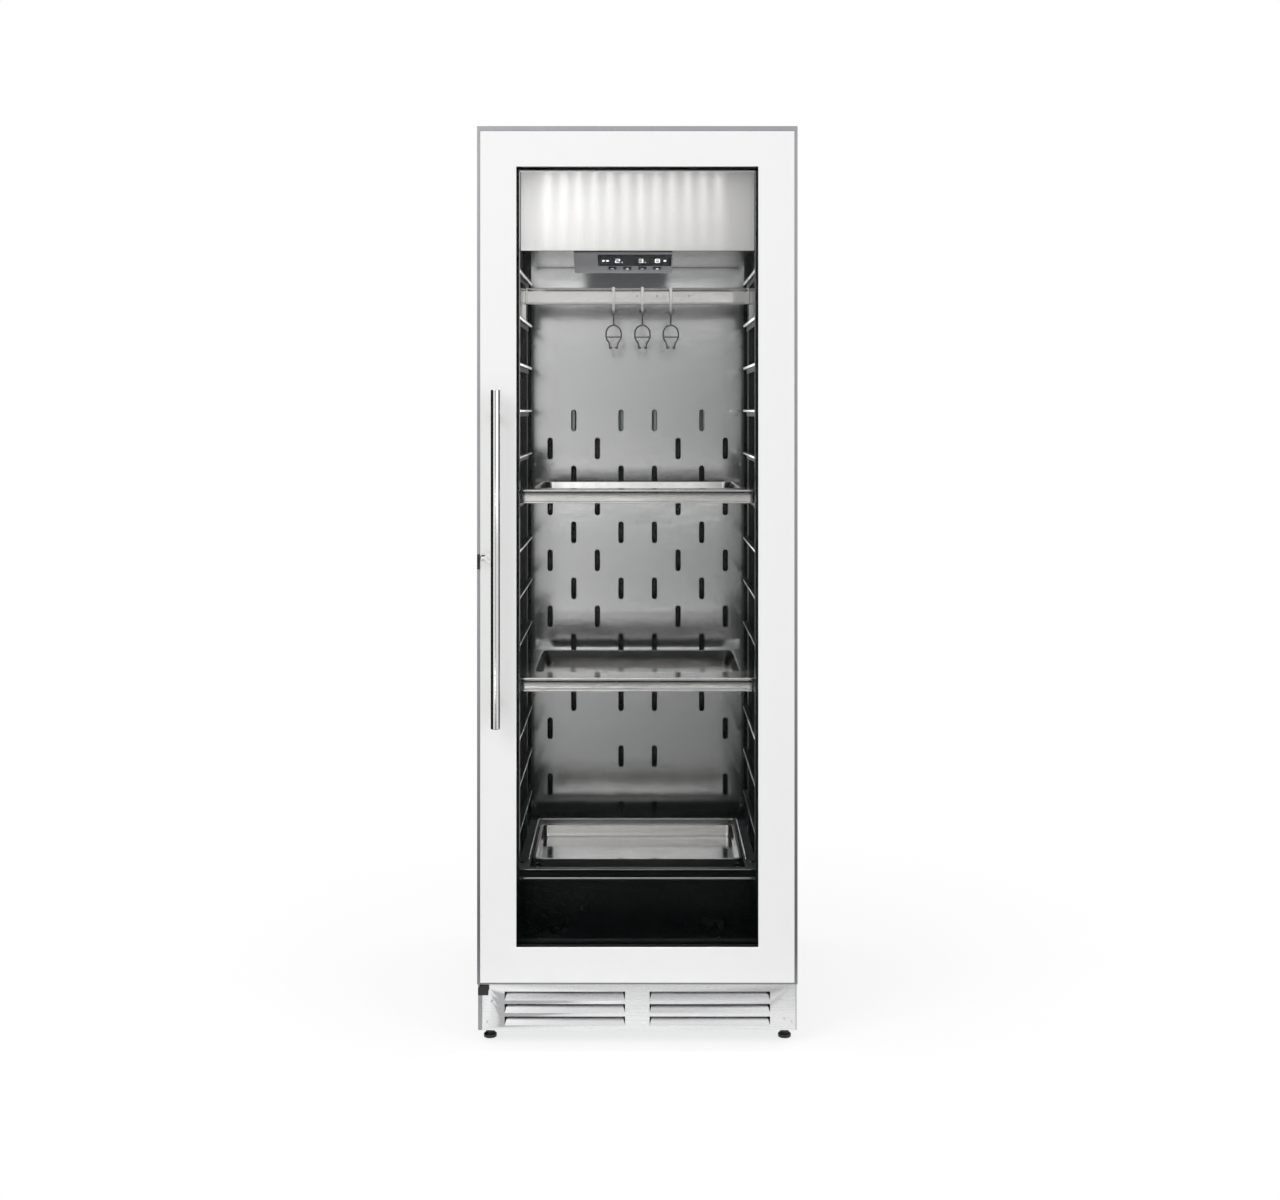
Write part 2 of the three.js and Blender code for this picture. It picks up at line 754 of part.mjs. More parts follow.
// A fan rotor on the Y axis: a hub and pitched blades
function fanRotor() {
  const hub = bar('y', fanHubRadius, 0, fanHubDepth, 0, 0, roundSides);
  const blades = [];
  for (let i = 0; i < fanBladeCount; i += 1) {
    const root = fanHubRadius - fanBladeThickness * 2;
    const blade = prismY([
      [-fanBladeRootHalf, root],
      [fanBladeRootHalf, root],
      [fanBladeTipHalf, fanRadius * 0.97],
      [-fanBladeTipHalf * 0.8, fanRadius],
    ], -fanBladeThickness / 2, fanBladeThickness / 2);
    blades.push(blade.rotate([0, 0, 24]).rotate([0, (360 * i) / fanBladeCount, 0])
      .translate([0, fanHubDepth / 2, 0]));
  }
  return join(hub, ...blades);
}

// Condenser with its fan shroud, the motor on a bar across the shroud's hole
const condenserY = bayFrontY + condenserSetback;
const condenserZ = panTopZ + fitGap;
const condenserFanZ = condenserHeight / 2;
const shroudBackY = condenserDepth + shroudDepth;

function condenser() {
  const plateY = shroudBackY - shroudSheet;
  const motorY = shroudBackY + fanHubDepth / 2 + fitGap;
  const plate = cut(
    block(-condenserHalf, condenserHalf, plateY, shroudBackY, 0, condenserHeight),
    bar('y', fanRadius + ductFanGap, plateY - cutOverrun, shroudBackY + cutOverrun, 0, condenserFanZ, fineSides),
  );
  const barY0 = motorY + fanMotorDepth;
  return join(
    finBlock(condenserHalf, condenserDepth, condenserHeight, condenserFinCount),
    block(-condenserHalf, -condenserHalf + shroudSheet, condenserDepth - finSpine, shroudBackY, 0, condenserHeight),
    block(condenserHalf - shroudSheet, condenserHalf, condenserDepth - finSpine, shroudBackY, 0, condenserHeight),
    plate,
    bar('y', fanMotorRadius, motorY, barY0 + motorBarThickness / 2, 0, condenserFanZ, roundSides),
    block(-motorBarHalf, motorBarHalf, barY0, barY0 + motorBarThickness, 0, condenserHeight),
    block(-motorBarHalf, motorBarHalf, plateY, barY0 + motorBarThickness, 0, motorBarThickness),
    block(-motorBarHalf, motorBarHalf, plateY, barY0 + motorBarThickness,
      condenserHeight - motorBarThickness, condenserHeight),
  );
}

function compressor() {
  const plateZ = compressorLegHeight;
  const canZ = plateZ + compressorPlate / 2;
  const r = compressorRadius;
  const h = compressorHeight;
  const profile = [
    [0, 0], [r * 0.8, 0], [r, h * 0.12], [r, h * 0.46], [r * 1.04, h * 0.48], [r * 1.04, h * 0.52],
    [r, h * 0.54], [r * 0.97, h * 0.78], [r * 0.72, h * 0.95], [0, h],
  ];
  const can = new THREE.LatheGeometry(profile.map(([u, v]) => new THREE.Vector2(u, v)), fineSides);
  can.rotateX(Math.PI / 2);
  can.translate(0, 0, canZ);
  const legs = [];
  for (const sx of [-1, 1]) {
    for (const sy of [-1, 1]) {
      legs.push(bar('z', compressorLegRadius, 0, plateZ + compressorPlate / 2,
        sx * (compressorPlateHalfX - compressorLegRadius), sy * (compressorPlateHalfY - compressorLegRadius)));
    }
  }
  return join(
    block(-compressorPlateHalfX, compressorPlateHalfX, -compressorPlateHalfY, compressorPlateHalfY,
      plateZ, plateZ + compressorPlate),
    solid(can),
    ...legs,
  );
}

place(cabinet, 'condenser', condenser(), finAluminium, 0, condenserY, condenserZ);
place(cabinet, 'condenser_fan', fanRotor(), blackPlastic,
  0, condenserY + shroudBackY - fanHubDepth / 2, condenserZ + condenserFanZ);
place(cabinet, 'compressor', compressor(), compressorPaint,
  -compressorOffset, backY - compressorRearInset, panTopZ + fitGap);

// Slotted back duct, a pan whose returns stand on the liner's back wall
const ductBottomZ = raisedFloorHeight + fitGap;
const ductTopZ = cavityTopZ - fitGap;
const ductBackY = cavityBackY - fitGap;
const ductFanZ = moduleBottomZ + moduleHeight / 2;

function uprightSlot(x, z) {
  const r = slotWidth / 2;
  const straight = slotLength / 2 - r;
  const points = [];
  for (const end of [1, -1]) {
    for (let i = 0; i <= slotArcSteps; i += 1) {
      const angle = (Math.PI * i) / slotArcSteps;
      points.push([x + end * r * Math.cos(angle), z + end * (straight + r * Math.sin(angle))]);
    }
  }
  return prismY(points, ductY - cutOverrun, ductY + ductSheet + cutOverrun);
}

function backDuct() {
  const tools = [
    block(-ductHalf + ductSheet, ductHalf - ductSheet, ductY + ductSheet, ductBackY + cutOverrun,
      ductBottomZ + ductSheet, ductTopZ - ductSheet),
    bar('y', fanRadius + ductFanGap, ductY - cutOverrun, ductY + ductSheet + cutOverrun, 0, ductFanZ, fineSides),
  ];
  const columnPitch = (ductHalf - slotEdgeMargin - slotFirstColumn) / (slotColumnCount - 1);
  for (let row = 0; row < slotRowCount; row += 1) {
    const z = raisedFloorHeight + slotFirstRow + row * slotRowPitch;
    for (let column = 0; column < slotColumnCount; column += 1) {
      // even rows use the even columns, and the lowest rows keep only one slot on each side
      const innerOnly = row < slotColumnCount && column > 0 && row % 2 === 0;
      const outerOnly = row < slotColumnCount + 2 && column < slotColumnCount - 1 && row % 2 === 1;
      if (column % 2 === row % 2 && !innerOnly && !outerOnly) {
        const x = slotFirstColumn + column * columnPitch;
        tools.push(uprightSlot(x, z), uprightSlot(-x, z));
      }
    }
  }
  return cut(block(-ductHalf, ductHalf, ductY, ductBackY, ductBottomZ, ductTopZ), ...tools);
}

function evaporatorFanMount() {
  return join(
    block(-fanRadius, fanRadius, -motorBarThickness, 0, -motorBarHalf, motorBarHalf),
    block(-motorBarHalf, motorBarHalf, -motorBarThickness, 0, -fanRadius, fanRadius),
    bar('y', fanMotorRadius, ductSheet + fanHubDepth + fitGap * 2 - ductDepth, -motorBarThickness / 2, 0, 0),
  );
}

place(cabinet, 'back_duct_panel', backDuct(), brushedSteel);
place(cabinet, 'evaporator', finBlock(evaporatorHalf, evaporatorDepth, evaporatorHeight, evaporatorFinCount),
  finAluminium, 0, ductBackY - evaporatorDepth, cavityTopZ - evaporatorTopGap - evaporatorHeight);
place(cabinet, 'evaporator_fan_motor', evaporatorFanMount(), galvanised, 0, ductBackY, ductFanZ);
place(cabinet, 'evaporator_fan', fanRotor(), blackPlastic, 0, ductY + ductSheet, ductFanZ);

// Top module: a sheet box open at its top and back, hung from the ceiling
function topModule() {
  return cut(
    block(-moduleHalf, moduleHalf, moduleFrontY, ductY - fitGap, moduleBottomZ, cavityTopZ - fitGap),
    block(-moduleHalf + moduleSheet, moduleHalf - moduleSheet, moduleFrontY + moduleSheet, ductY + cutOverrun,
      moduleBottomZ + moduleSheet, cavityTopZ + cutOverrun),
  );
}

// Lamp strip on the ceiling in front of the module, with a row of round lenses under it
function lampStrip() {
  const lenses = [];
  for (let i = 0; i < lampCount; i += 1) {
    const x = lampShift + (i - (lampCount - 1) / 2) * lampPitch;
    lenses.push(bar('z', lampRadius, -lampThickness - lampProud, -lampThickness / 2, x, 0, wireSides));
  }
  return join(block(-lampHalf, lampHalf, -lampHalfWidth, lampHalfWidth, -lampThickness, 0), ...lenses);
}

place(cabinet, 'top_module_cover', topModule(), brushedSteel);
place(cabinet, 'lamp_strip', lampStrip(), lampLens, 0, casingFrontY + lampSetback, cavityTopZ - fitGap);

// Control pod under the module, its face sloping down towards the back. Along the slope, s runs
// from the upper edge; the slope group's own -Z looks out of the face.
const podTopZ = moduleBottomZ - fitGap;
const podFrontY = moduleFrontY + podSetback;
const slopeFall = podDrop - podLip;
const slopeAngle = Math.atan2(slopeFall, podSlopeRun);
const controls = new THREE.Group();
controls.position.set(podShift, podFrontY, podTopZ - podLip);
controls.rotation.x = -slopeAngle;
cabinet.add(controls);

function onSlope(shape) {
  return shape.rotate([(-slopeAngle * 180) / Math.PI, 0, 0]).translate([0, podFrontY, podTopZ - podLip]);
}

const keyPlaces = [];
for (let i = 0; i < keyCount; i += 1) {
  keyPlaces.push(displayShift + (i - (keyCount - 1) / 2) * keyPitch);
}

function controlPod() {
  const body = prismX([
    [podFrontY, podTopZ - podLip],
    [podFrontY + podSlopeRun, podTopZ - podDrop],
    [podFrontY + podSlopeRun + podTailRun, podTopZ - podDrop],
    [podFrontY + podSlopeRun + podTailRun, podTopZ],
    [podFrontY, podTopZ],
  ], -podHalf, podHalf);
  const room = fitGap + turnGap / 2;
  const pockets = keyPlaces.map((x) => onSlope(block(x - keyHalf - room, x + keyHalf + room,
    keyStart - room, keyStart + keyRun + room, -cutOverrun, keyDeep + keyTravel + turnGap)));
  return cut(body, ...pockets).translate([podShift, 0, 0]);
}

place(cabinet, 'control_pod', controlPod(), blackPlastic);
place(controls, 'display_lens', block(-displayHalf, displayHalf, displayStart, displayStart + displayRun,
  -fitGap - displayThickness, -fitGap), darkGlass, displayShift);
keyPlaces.forEach((x, i) => {
  place(controls, `control_key_${i + 1}`, block(-keyHalf, keyHalf, keyStart, keyStart + keyRun,
    -keyProudOut, keyDeep), blackPlastic, x);
});

// Rails for one side: two U posts on the liner's wall and a ladder of angle rails on their faces
function railLadder(side) {
  const wallX = cavityHalf - fitGap;
  const faceX = cavityHalf - railPostDepth;
  const y0 = shelfFrontY;
  const y1 = shelfFrontY + railLength;
  const bottom = raisedFloorHeight + fitGap;
  const top = railFirstZ + (railCount - 1) * railPitch + railTopRoom / 2;
  const shapes = [];
  for (const y of [y0 + railPostInset, y1 - railPostInset]) {
    shapes.push(cut(
      block(faceX, wallX, y - railPostHalf, y + railPostHalf, bottom, top),
      block(faceX + railSheet, wallX + cutOverrun, y - railPostHalf + railSheet, y + railPostHalf - railSheet,
        bottom - cutOverrun, top + cutOverrun),
    ));
  }
  const inner = cavityHalf - railReach;
  const legX = faceX - railSheet / 2;
  for (let i = 0; i < railCount; i += 1) {
    const z = railFirstZ + i * railPitch;
    const drop = i === 0 ? railFirst - fitGap : railDrop;
    shapes.push(prismY([
      [inner, z], [inner, z - railSheet], [legX, z - railSheet],
      [legX, z - drop], [legX + railSheet, z - drop], [legX + railSheet, z],
    ], y0, y1));
  }
  const ladder = join(...shapes);
  return side > 0 ? ladder : ladder.mirror([1, 0, 0]);
}

place(cabinet, 'rail_ladder_left', railLadder(-1), brushedSteel);
place(cabinet, 'rail_ladder_right', railLadder(1), brushedSteel);

// A front channel, open to the front, its front edge at y = 0, with a flat sheet behind it at its
// top, folded down along both sides so that the folds stand on the rails
function shelfShell(height) {
  const web = channelDepth - shelfSheet;
  const channel = prismX([
    [0, 0], [channelDepth, 0], [channelDepth, height], [0, height],
    [0, height - shelfSheet], [web, height - shelfSheet], [web, shelfSheet], [0, shelfSheet],
  ], -shelfHalf, shelfHalf);
  return join(
    channel,
    block(-shelfHalf, shelfHalf, web, shelfDepth, height - shelfSheet, height),
    block(-shelfHalf, -shelfHalf + shelfSheet, web, shelfDepth, 0, height),
    block(shelfHalf - shelfSheet, shelfHalf, web, shelfDepth, 0, height),
  );
}

function panShelf() {
  const half = shelfHalf - shelfSideRim;
  const rear = shelfDepth - shelfRearRim;
  const floor = channelHeight - shelfPanDepth;
  const t = shelfSheet;
  return cut(
    join(
      shelfShell(channelHeight),
      block(-half, half, shelfFrontRim, rear, floor, channelHeight - t / 2),
    ),
    block(-half + t, half - t, shelfFrontRim + t, rear - t, floor + t, channelHeight + cutOverrun),
  );
}

function bottomFrame() {
  const half = shelfHalf - frameStrip;
  const bars = [-1, 1].map((side) => block(side * crossBarOffset - crossBarHalf, side * crossBarOffset + crossBarHalf,
    channelDepth - shelfSheet / 2, shelfDepth - shelfSheet / 2, shelfSheet / 2, crossBarHeight));
  return cut(
    join(
      shelfShell(frameHeight),
      block(-shelfHalf, shelfHalf, shelfDepth - shelfSheet, shelfDepth, 0, frameHeight),
      ...bars,
    ),
    block(-half, half, channelDepth, shelfDepth - frameRearStrip, crossBarHeight, frameHeight + cutOverrun),
  );
}

const trayHalf = shelfHalf - traySideGap;
const trayFront = channelDepth + trayFrontGap;
const trayDepth = shelfDepth - trayRearGap - trayFront;

function dripTray() {
  return cut(
    join(
      block(-trayHalf, trayHalf, 0, trayDepth, 0, trayHeight),
      block(-trayHalf - trayLip, trayHalf + trayLip, -trayLip, trayDepth + trayLip,
        trayHeight - traySheet, trayHeight),
    ),
    block(-trayHalf + traySheet, trayHalf - traySheet, traySheet, trayDepth - traySheet,
      traySheet, trayHeight + cutOverrun),
  );
}

// Wire guard round the tray: a U of wire on four legs that stand on the frame
function trayGuard() {
  const reach = trayLip + guardGap + guardRadius;
  const x = trayHalf + reach;
  const rear = shelfDepth - frameRearStrip / 2;
  const base = frameHeight + fitGap;
  const legs = [-1, 1].map((side) => bar('z', guardRadius, base, guardRise,
    side * (x - guardBend), rear, wireSides));
  return join(
    wire([
      [-x, trayFront, base], [-x, trayFront, guardRise], [-x, rear, guardRise],
      [x, rear, guardRise], [x, trayFront, guardRise], [x, trayFront, base],
    ], guardRadius, guardBend / 2),
    ...legs,
  );
}

const railZ = (index) => railFirstZ + index * railPitch + fitGap;
place(cabinet, 'shelf_upper', panShelf(), polishedSteel, 0, shelfFrontY, railZ(upperShelfRail));
place(cabinet, 'shelf_middle', panShelf(), polishedSteel, 0, shelfFrontY, railZ(middleShelfRail));
place(cabinet, 'bottom_frame', bottomFrame(), polishedSteel, 0, shelfFrontY, railZ(0));
place(cabinet, 'drip_tray', dripTray(), polishedSteel,
  0, shelfFrontY + trayFront, railZ(0) + crossBarHeight + fitGap);
place(cabinet, 'tray_guard', trayGuard(), polishedSteel, 0, shelfFrontY, railZ(0));

// Hanging bar: a channel open to the front on two legs that stand on a pair of rails
const barZ = railZ(railCount - 2) + barLegHeight;

function hangingBar() {
  const half = cavityHalf - barSideGap;
  const web = barDepth - barSheet;
  const profile = prismX([
    [0, 0], [barDepth, 0], [barDepth, barHeight], [0, barHeight],
    [0, barHeight - barSheet], [web, barHeight - barSheet], [web, barSheet], [0, barSheet],
  ], -half, half);
  return join(
    profile,
    block(-half, -half + barLegWidth, 0, barDepth, -barLegHeight, barSheet),
    block(half - barLegWidth, half, 0, barDepth, -barLegHeight, barSheet),
  );
}

// A saddle: a strap round the bar, with a lug and an eye under it
const saddleGap = fitGap * 2;
const eyeDrop = saddleGap + saddleSheet + saddleLug / 2;

function saddle() {
  const g = saddleGap;
  const t = saddleSheet;
  const middle = barDepth / 2;
  const strap = cut(
    block(-saddleWidth / 2, saddleWidth / 2, -g - t, barDepth + g + t, -g - t, barHeight + g + t),
    block(-saddleWidth, saddleWidth, -g, barDepth + g, -g, barHeight + g),
  );
  const lug = block(-saddleWidth / 2, saddleWidth / 2, middle - saddleLug / 2, middle + saddleLug / 2,
    -g - t - saddleLug, -g - t / 2);
  return cut(join(strap, lug), bar('x', saddleEye, -saddleWidth, saddleWidth, middle, -eyeDrop, roundSides));
}

// A hook: a wire eye through the lug, a stem, and a bell of two prongs with upturned tips
function hook() {
  const e = hookEyeHalf;
  const stemTop = -hookEyeDrop;
  const stemEnd = stemTop - hookStemLength;
  const bend = hookWire * 1.2;
  const shapes = [
    wire([[0, 0, stemTop], [-e, 0, stemTop + e], [-e, 0, 0], [e, 0, 0], [e, 0, stemTop + e], [0, 0, stemTop]],
      hookWire, bend),
    wire([[0, 0, stemTop + hookWire], [0, 0, (stemTop + stemEnd) / 2], [0, 0, stemEnd]], hookWire, bend * 2),
  ];
  for (const side of [-1, 1]) {
    const shoulder = stemEnd - hookShoulderDrop;
    const waist = shoulder - hookFlank - hookWaistDrop;
    shapes.push(wire([
      [0, 0, stemEnd + hookWire],
      [side * hookShoulderHalf, 0, shoulder],
      [side * hookShoulderHalf, 0, shoulder - hookFlank],
      [side * hookWaistHalf, 0, waist],
      [side * hookWaistHalf, 0, waist - hookTipDrop],
      [side * hookTipHalf, 0, waist - hookTipDrop + hookTipRise],
    ], hookWire, bend));
  }
  shapes.push(bar('x', hookWire * 0.8, -hookShoulderHalf, hookShoulderHalf, 0,
    stemEnd - hookShoulderDrop - hookFlank / 2, wireSides));
  return join(...shapes);
}

place(cabinet, 'hanging_bar', hangingBar(), brushedSteel, 0, barY, barZ);
hookPlaces.forEach((x, i) => {
  place(cabinet, `hook_saddle_${i + 1}`, saddle(), polishedSteel, x, barY, barZ);
  place(cabinet, `meat_hook_${i + 1}`, hook(), polishedSteel,
    x, barY + barDepth / 2, barZ - eyeDrop - saddleEye + hookWire + fitGap / 2);
});

// The door: trim ring, front panel, core, sealed glass, gasket, handle and lock.
// Its group's own y = 0 is the front of the trim.
const door = new THREE.Group();
door.position.set(0, doorFrontY, 0);
cabinet.add(door);

const doorBottomZ = sillHeight + doorLift;
const doorInnerHalf = halfWidth - trimSide;
const doorInnerBottomZ = doorBottomZ + trimBottom;
const doorInnerTopZ = cabinetHeight - trimTop;
const hingeDoorY = doorThickness - hingeSetback;
const windowHalf = halfWidth - glassSideMargin;
const windowBottomZ = doorBottomZ + glassBottomMargin;
const windowTopZ = cabinetHeight - glassTopMargin;
const lockBore = lockBarrelRadius + fitGap;

// A ring lying in the door's plane: outer half width, its z range, a margin inwards and a depth range
function doorRing(half, z0, z1, side, bottom, top, y0, y1) {
  return cut(
    block(-half, half, y0, y1, z0, z1),
    block(-half + side, half - side, y0 - cutOverrun, y1 + cutOverrun, z0 + bottom, z1 - top),
  );
}

function pinBores() {
  const r = hingePinRadius + turnGap;
  return [
    bar('z', r, casingTopZ - hingePinLength - turnGap, cabinetHeight + cutOverrun, hingeX, hingeDoorY),
    bar('z', r, doorBottomZ - cutOverrun, sillHeight + hingePinLength + turnGap, hingeX, hingeDoorY),
  ];
}

function doorTrim() {
  const notch = block(
    hingeX - hingeTongueHalf - turnGap, halfWidth + cutOverrun,
    hingeDoorY - hingeTongueHalf - hingeSwingRoom, doorThickness + cutOverrun,
    casingTopZ - turnGap, cabinetHeight + cutOverrun);
  return cut(
    doorRing(halfWidth, doorBottomZ, cabinetHeight, trimSide, trimBottom, trimTop, 0, doorThickness),
    notch, ...pinBores());
}

function frontPanel() {
  const half = doorInnerHalf - fitGap;
  return cut(
    block(-half, half, 0, frontPanelThickness, doorInnerBottomZ + fitGap, doorInnerTopZ - fitGap),
    block(-windowHalf, windowHalf, -cutOverrun, frontPanelThickness + cutOverrun, windowBottomZ, windowTopZ),
    bar('y', lockBore, -cutOverrun, frontPanelThickness + cutOverrun, lockX, lockHeight),
  );
}

const coreFront = frontPanelThickness + fitGap;
const outerPaneY = coreFront;
const spacerY = outerPaneY + paneThickness + fitGap;
const innerPaneY = spacerY + spacerThickness + fitGap;
const glassBackY = innerPaneY + paneThickness;

function doorCore() {
  const half = doorInnerHalf - fitGap;
  const rebate = glassSeat + fitGap;
  return cut(
    block(-half, half, coreFront, doorThickness, doorInnerBottomZ + fitGap, doorInnerTopZ - fitGap),
    block(-windowHalf + coreShow, windowHalf - coreShow, coreFront - cutOverrun, doorThickness + cutOverrun,
      windowBottomZ + coreShow, windowTopZ - coreShow),
    block(-windowHalf - rebate, windowHalf + rebate, coreFront - cutOverrun, glassBackY + fitGap,
      windowBottomZ - rebate, windowTopZ + rebate),
    bar('y', lockBore, -cutOverrun, doorThickness + cutOverrun, lockX, lockHeight),
    ...pinBores(),
  );
}

function pane(y) {
  return block(-windowHalf - glassSeat, windowHalf + glassSeat, y, y + paneThickness,
    windowBottomZ - glassSeat, windowTopZ + glassSeat);
}

function glassSpacer() {
  return doorRing(windowHalf + glassSeat, windowBottomZ - glassSeat, windowTopZ + glassSeat,
    spacerWidth, spacerWidth, spacerWidth, spacerY, spacerY + spacerThickness);
}

function gasket() {
  return doorRing(halfWidth - gasketInset, doorBottomZ + gasketBottomInset, cabinetHeight - gasketTopInset,
    gasketWidth, gasketWidth, gasketWidth, doorThickness + fitGap, doorThickness + sealGap - fitGap);
}

place(door, 'door_trim', doorTrim(), edgeSteel);
place(door, 'door_front_panel', frontPanel(), whiteLacquer);
place(door, 'door_core', doorCore(), blackPlastic);
place(door, 'glass_outer', pane(outerPaneY), clearGlass);
place(door, 'glass_spacer', glassSpacer(), blackPlastic);
place(door, 'glass_inner', pane(innerPaneY), clearGlass);
place(door, 'door_gasket', gasket(), blackRubber);

// Handle: a round bar on two posts
const handleY = handleRadius - handleReach;
const handleBottomZ = handleCentreHeight - handleLength / 2;
place(door, 'handle_bar', bar('z', handleRadius, 0, handleLength, 0, 0, fineSides), polishedSteel,
  handleX, handleY, handleBottomZ);
for (const [name, z] of [['lower', postInset], ['upper', handleLength - postInset]]) {
  place(door, `handle_post_${name}`, bar('y', postRadius, handleY + handleRadius + fitGap, -fitGap, 0, 0),
    polishedSteel, handleX, 0, handleBottomZ + z);
}

// Lock: a barrel through the door, a key whose shank runs through it, a cam and a plate on the trim
function keyShape() {
  const bowX = lockBarrelRadius + keyBowWidth / 2;
  const bow = new THREE.Shape();
  bow.absellipse(bowX, 0, keyBowWidth / 2, keyBowHeight / 2, 0, 2 * Math.PI);
  const hole = new THREE.Path();
  hole.absellipse(bowX + keyHoleShift, 0, keyBowHole / 2, keyBowHole / 2, 0, 2 * Math.PI);
  bow.holes.push(hole);
  const geometry = new THREE.ExtrudeGeometry(bow, { depth: keyThickness, bevelEnabled: false, curveSegments: 10 });
  geometry.applyMatrix4(alongY);
  geometry.translate(0, keyThickness - keyProud, 0);
  return join(
    solid(geometry),
    block(-keyNeckHalf, lockBarrelRadius + keyThickness, -keyProud, keyThickness - keyProud,
      -keyNeckHalf, keyNeckHalf),
    bar('y', keyShankRadius, keyThickness / 2 - keyProud, doorThickness, 0, 0, roundSides),
  );
}

const lockBarrel = cut(
  bar('y', lockBarrelRadius, -lockBarrelProud, doorThickness - fitGap, 0, 0),
  bar('y', keyShankRadius + turnGap / 2, -lockBarrelProud - cutOverrun, doorThickness + cutOverrun, 0, 0),
);
const lockCam = block(-camHalfWidth, camHalfWidth, doorThickness + fitGap, doorThickness + fitGap + camThickness,
  -camLength, camTail);
const lockPlate = block(-halfWidth, -halfWidth + trimSide - fitGap, -fitGap - lockPlateThickness, -fitGap,
  lockHeight - lockPlateLower - lockPlateHeight / 2, lockHeight - lockPlateLower + lockPlateHeight / 2);
place(door, 'lock_barrel', lockBarrel, polishedSteel, lockX, 0, lockHeight);
place(door, 'lock_key', keyShape(), polishedSteel, lockX, 0, lockHeight);
place(door, 'lock_cam', lockCam, galvanised, lockX, 0, lockHeight);
place(door, 'lock_plate', lockPlate, blackPlastic);

export default cabinet;
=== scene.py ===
import json
from math import atan2, cos, pi, radians, sin, tan

import bmesh
import bpy
from mathutils import Matrix, Vector


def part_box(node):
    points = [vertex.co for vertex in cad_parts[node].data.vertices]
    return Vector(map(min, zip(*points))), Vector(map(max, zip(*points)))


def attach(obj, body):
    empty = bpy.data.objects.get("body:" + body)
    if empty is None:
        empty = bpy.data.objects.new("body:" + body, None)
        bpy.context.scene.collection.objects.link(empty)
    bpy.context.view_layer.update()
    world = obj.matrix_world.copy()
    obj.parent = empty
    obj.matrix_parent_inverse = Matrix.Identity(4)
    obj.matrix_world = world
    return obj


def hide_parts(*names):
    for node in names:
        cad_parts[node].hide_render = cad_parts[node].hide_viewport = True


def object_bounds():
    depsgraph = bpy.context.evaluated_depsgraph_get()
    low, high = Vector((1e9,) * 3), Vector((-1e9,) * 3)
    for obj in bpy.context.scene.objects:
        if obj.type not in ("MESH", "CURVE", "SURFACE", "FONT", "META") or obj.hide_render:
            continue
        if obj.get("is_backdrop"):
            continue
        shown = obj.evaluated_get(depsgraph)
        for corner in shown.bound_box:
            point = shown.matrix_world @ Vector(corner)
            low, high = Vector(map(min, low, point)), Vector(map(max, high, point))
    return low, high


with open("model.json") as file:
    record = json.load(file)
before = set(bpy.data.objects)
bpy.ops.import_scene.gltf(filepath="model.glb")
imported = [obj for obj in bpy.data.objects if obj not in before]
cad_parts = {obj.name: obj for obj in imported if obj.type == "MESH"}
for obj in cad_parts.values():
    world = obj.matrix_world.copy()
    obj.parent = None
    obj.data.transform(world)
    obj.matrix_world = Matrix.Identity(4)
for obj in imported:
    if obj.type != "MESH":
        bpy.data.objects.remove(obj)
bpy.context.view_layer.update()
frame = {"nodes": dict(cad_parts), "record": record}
nodes = frame["nodes"]
record = frame["record"]
scene = bpy.context.scene
mm = 0.001
bodyOf = {node: body for body, held in record["behaviour"]["bodies"].items() for node in held}
print("frame loaded")

# Camera: level, straight on, at the height of the door's upper third; horizonRow is the photograph's row
# that lies at the camera's height
camera = {"place": (0.005, -3.465, 1.1865), "lens": 47.43, "sensor": 36, "imageWidth": 1280,
          "imageHeight": 1200, "horizonRow": 412, "clipStart": 0.05}


def addObject(name, data):
    obj = bpy.data.objects.new(name, data)
    scene.collection.objects.link(obj)
    return obj


def addCamera(c):
    data = bpy.data.cameras.new("camera")
    data.lens = c["lens"]
    data.sensor_width = c["sensor"]
    data.shift_y = (c["horizonRow"] - c["imageHeight"] / 2) / c["imageWidth"]
    data.clip_start = c["clipStart"]
    scene.camera = addObject("camera", data)
    scene.camera.location = c["place"]
    scene.camera.rotation_euler = (radians(90), 0, 0)


addCamera(camera)
scene.view_settings.view_transform = "Standard"


# Materials

def linear(code):
    parts = [int(code[i:i + 2], 16) / 255 for i in (1, 3, 5)]
    return tuple(p / 12.92 if p <= 0.04045 else ((p + 0.055) / 1.055) ** 2.4 for p in parts) + (1,)


def addNode(tree, kind, settings, *links):
    node = tree.nodes.new("ShaderNode" + kind)
    for name, value in settings.items():
        if isinstance(name, int) or name in node.inputs:
            node.inputs[name].default_value = value
        else:
            setattr(node, name, value)
    for socket, source in links:
        tree.links.new(source, node.inputs[socket])
    return node


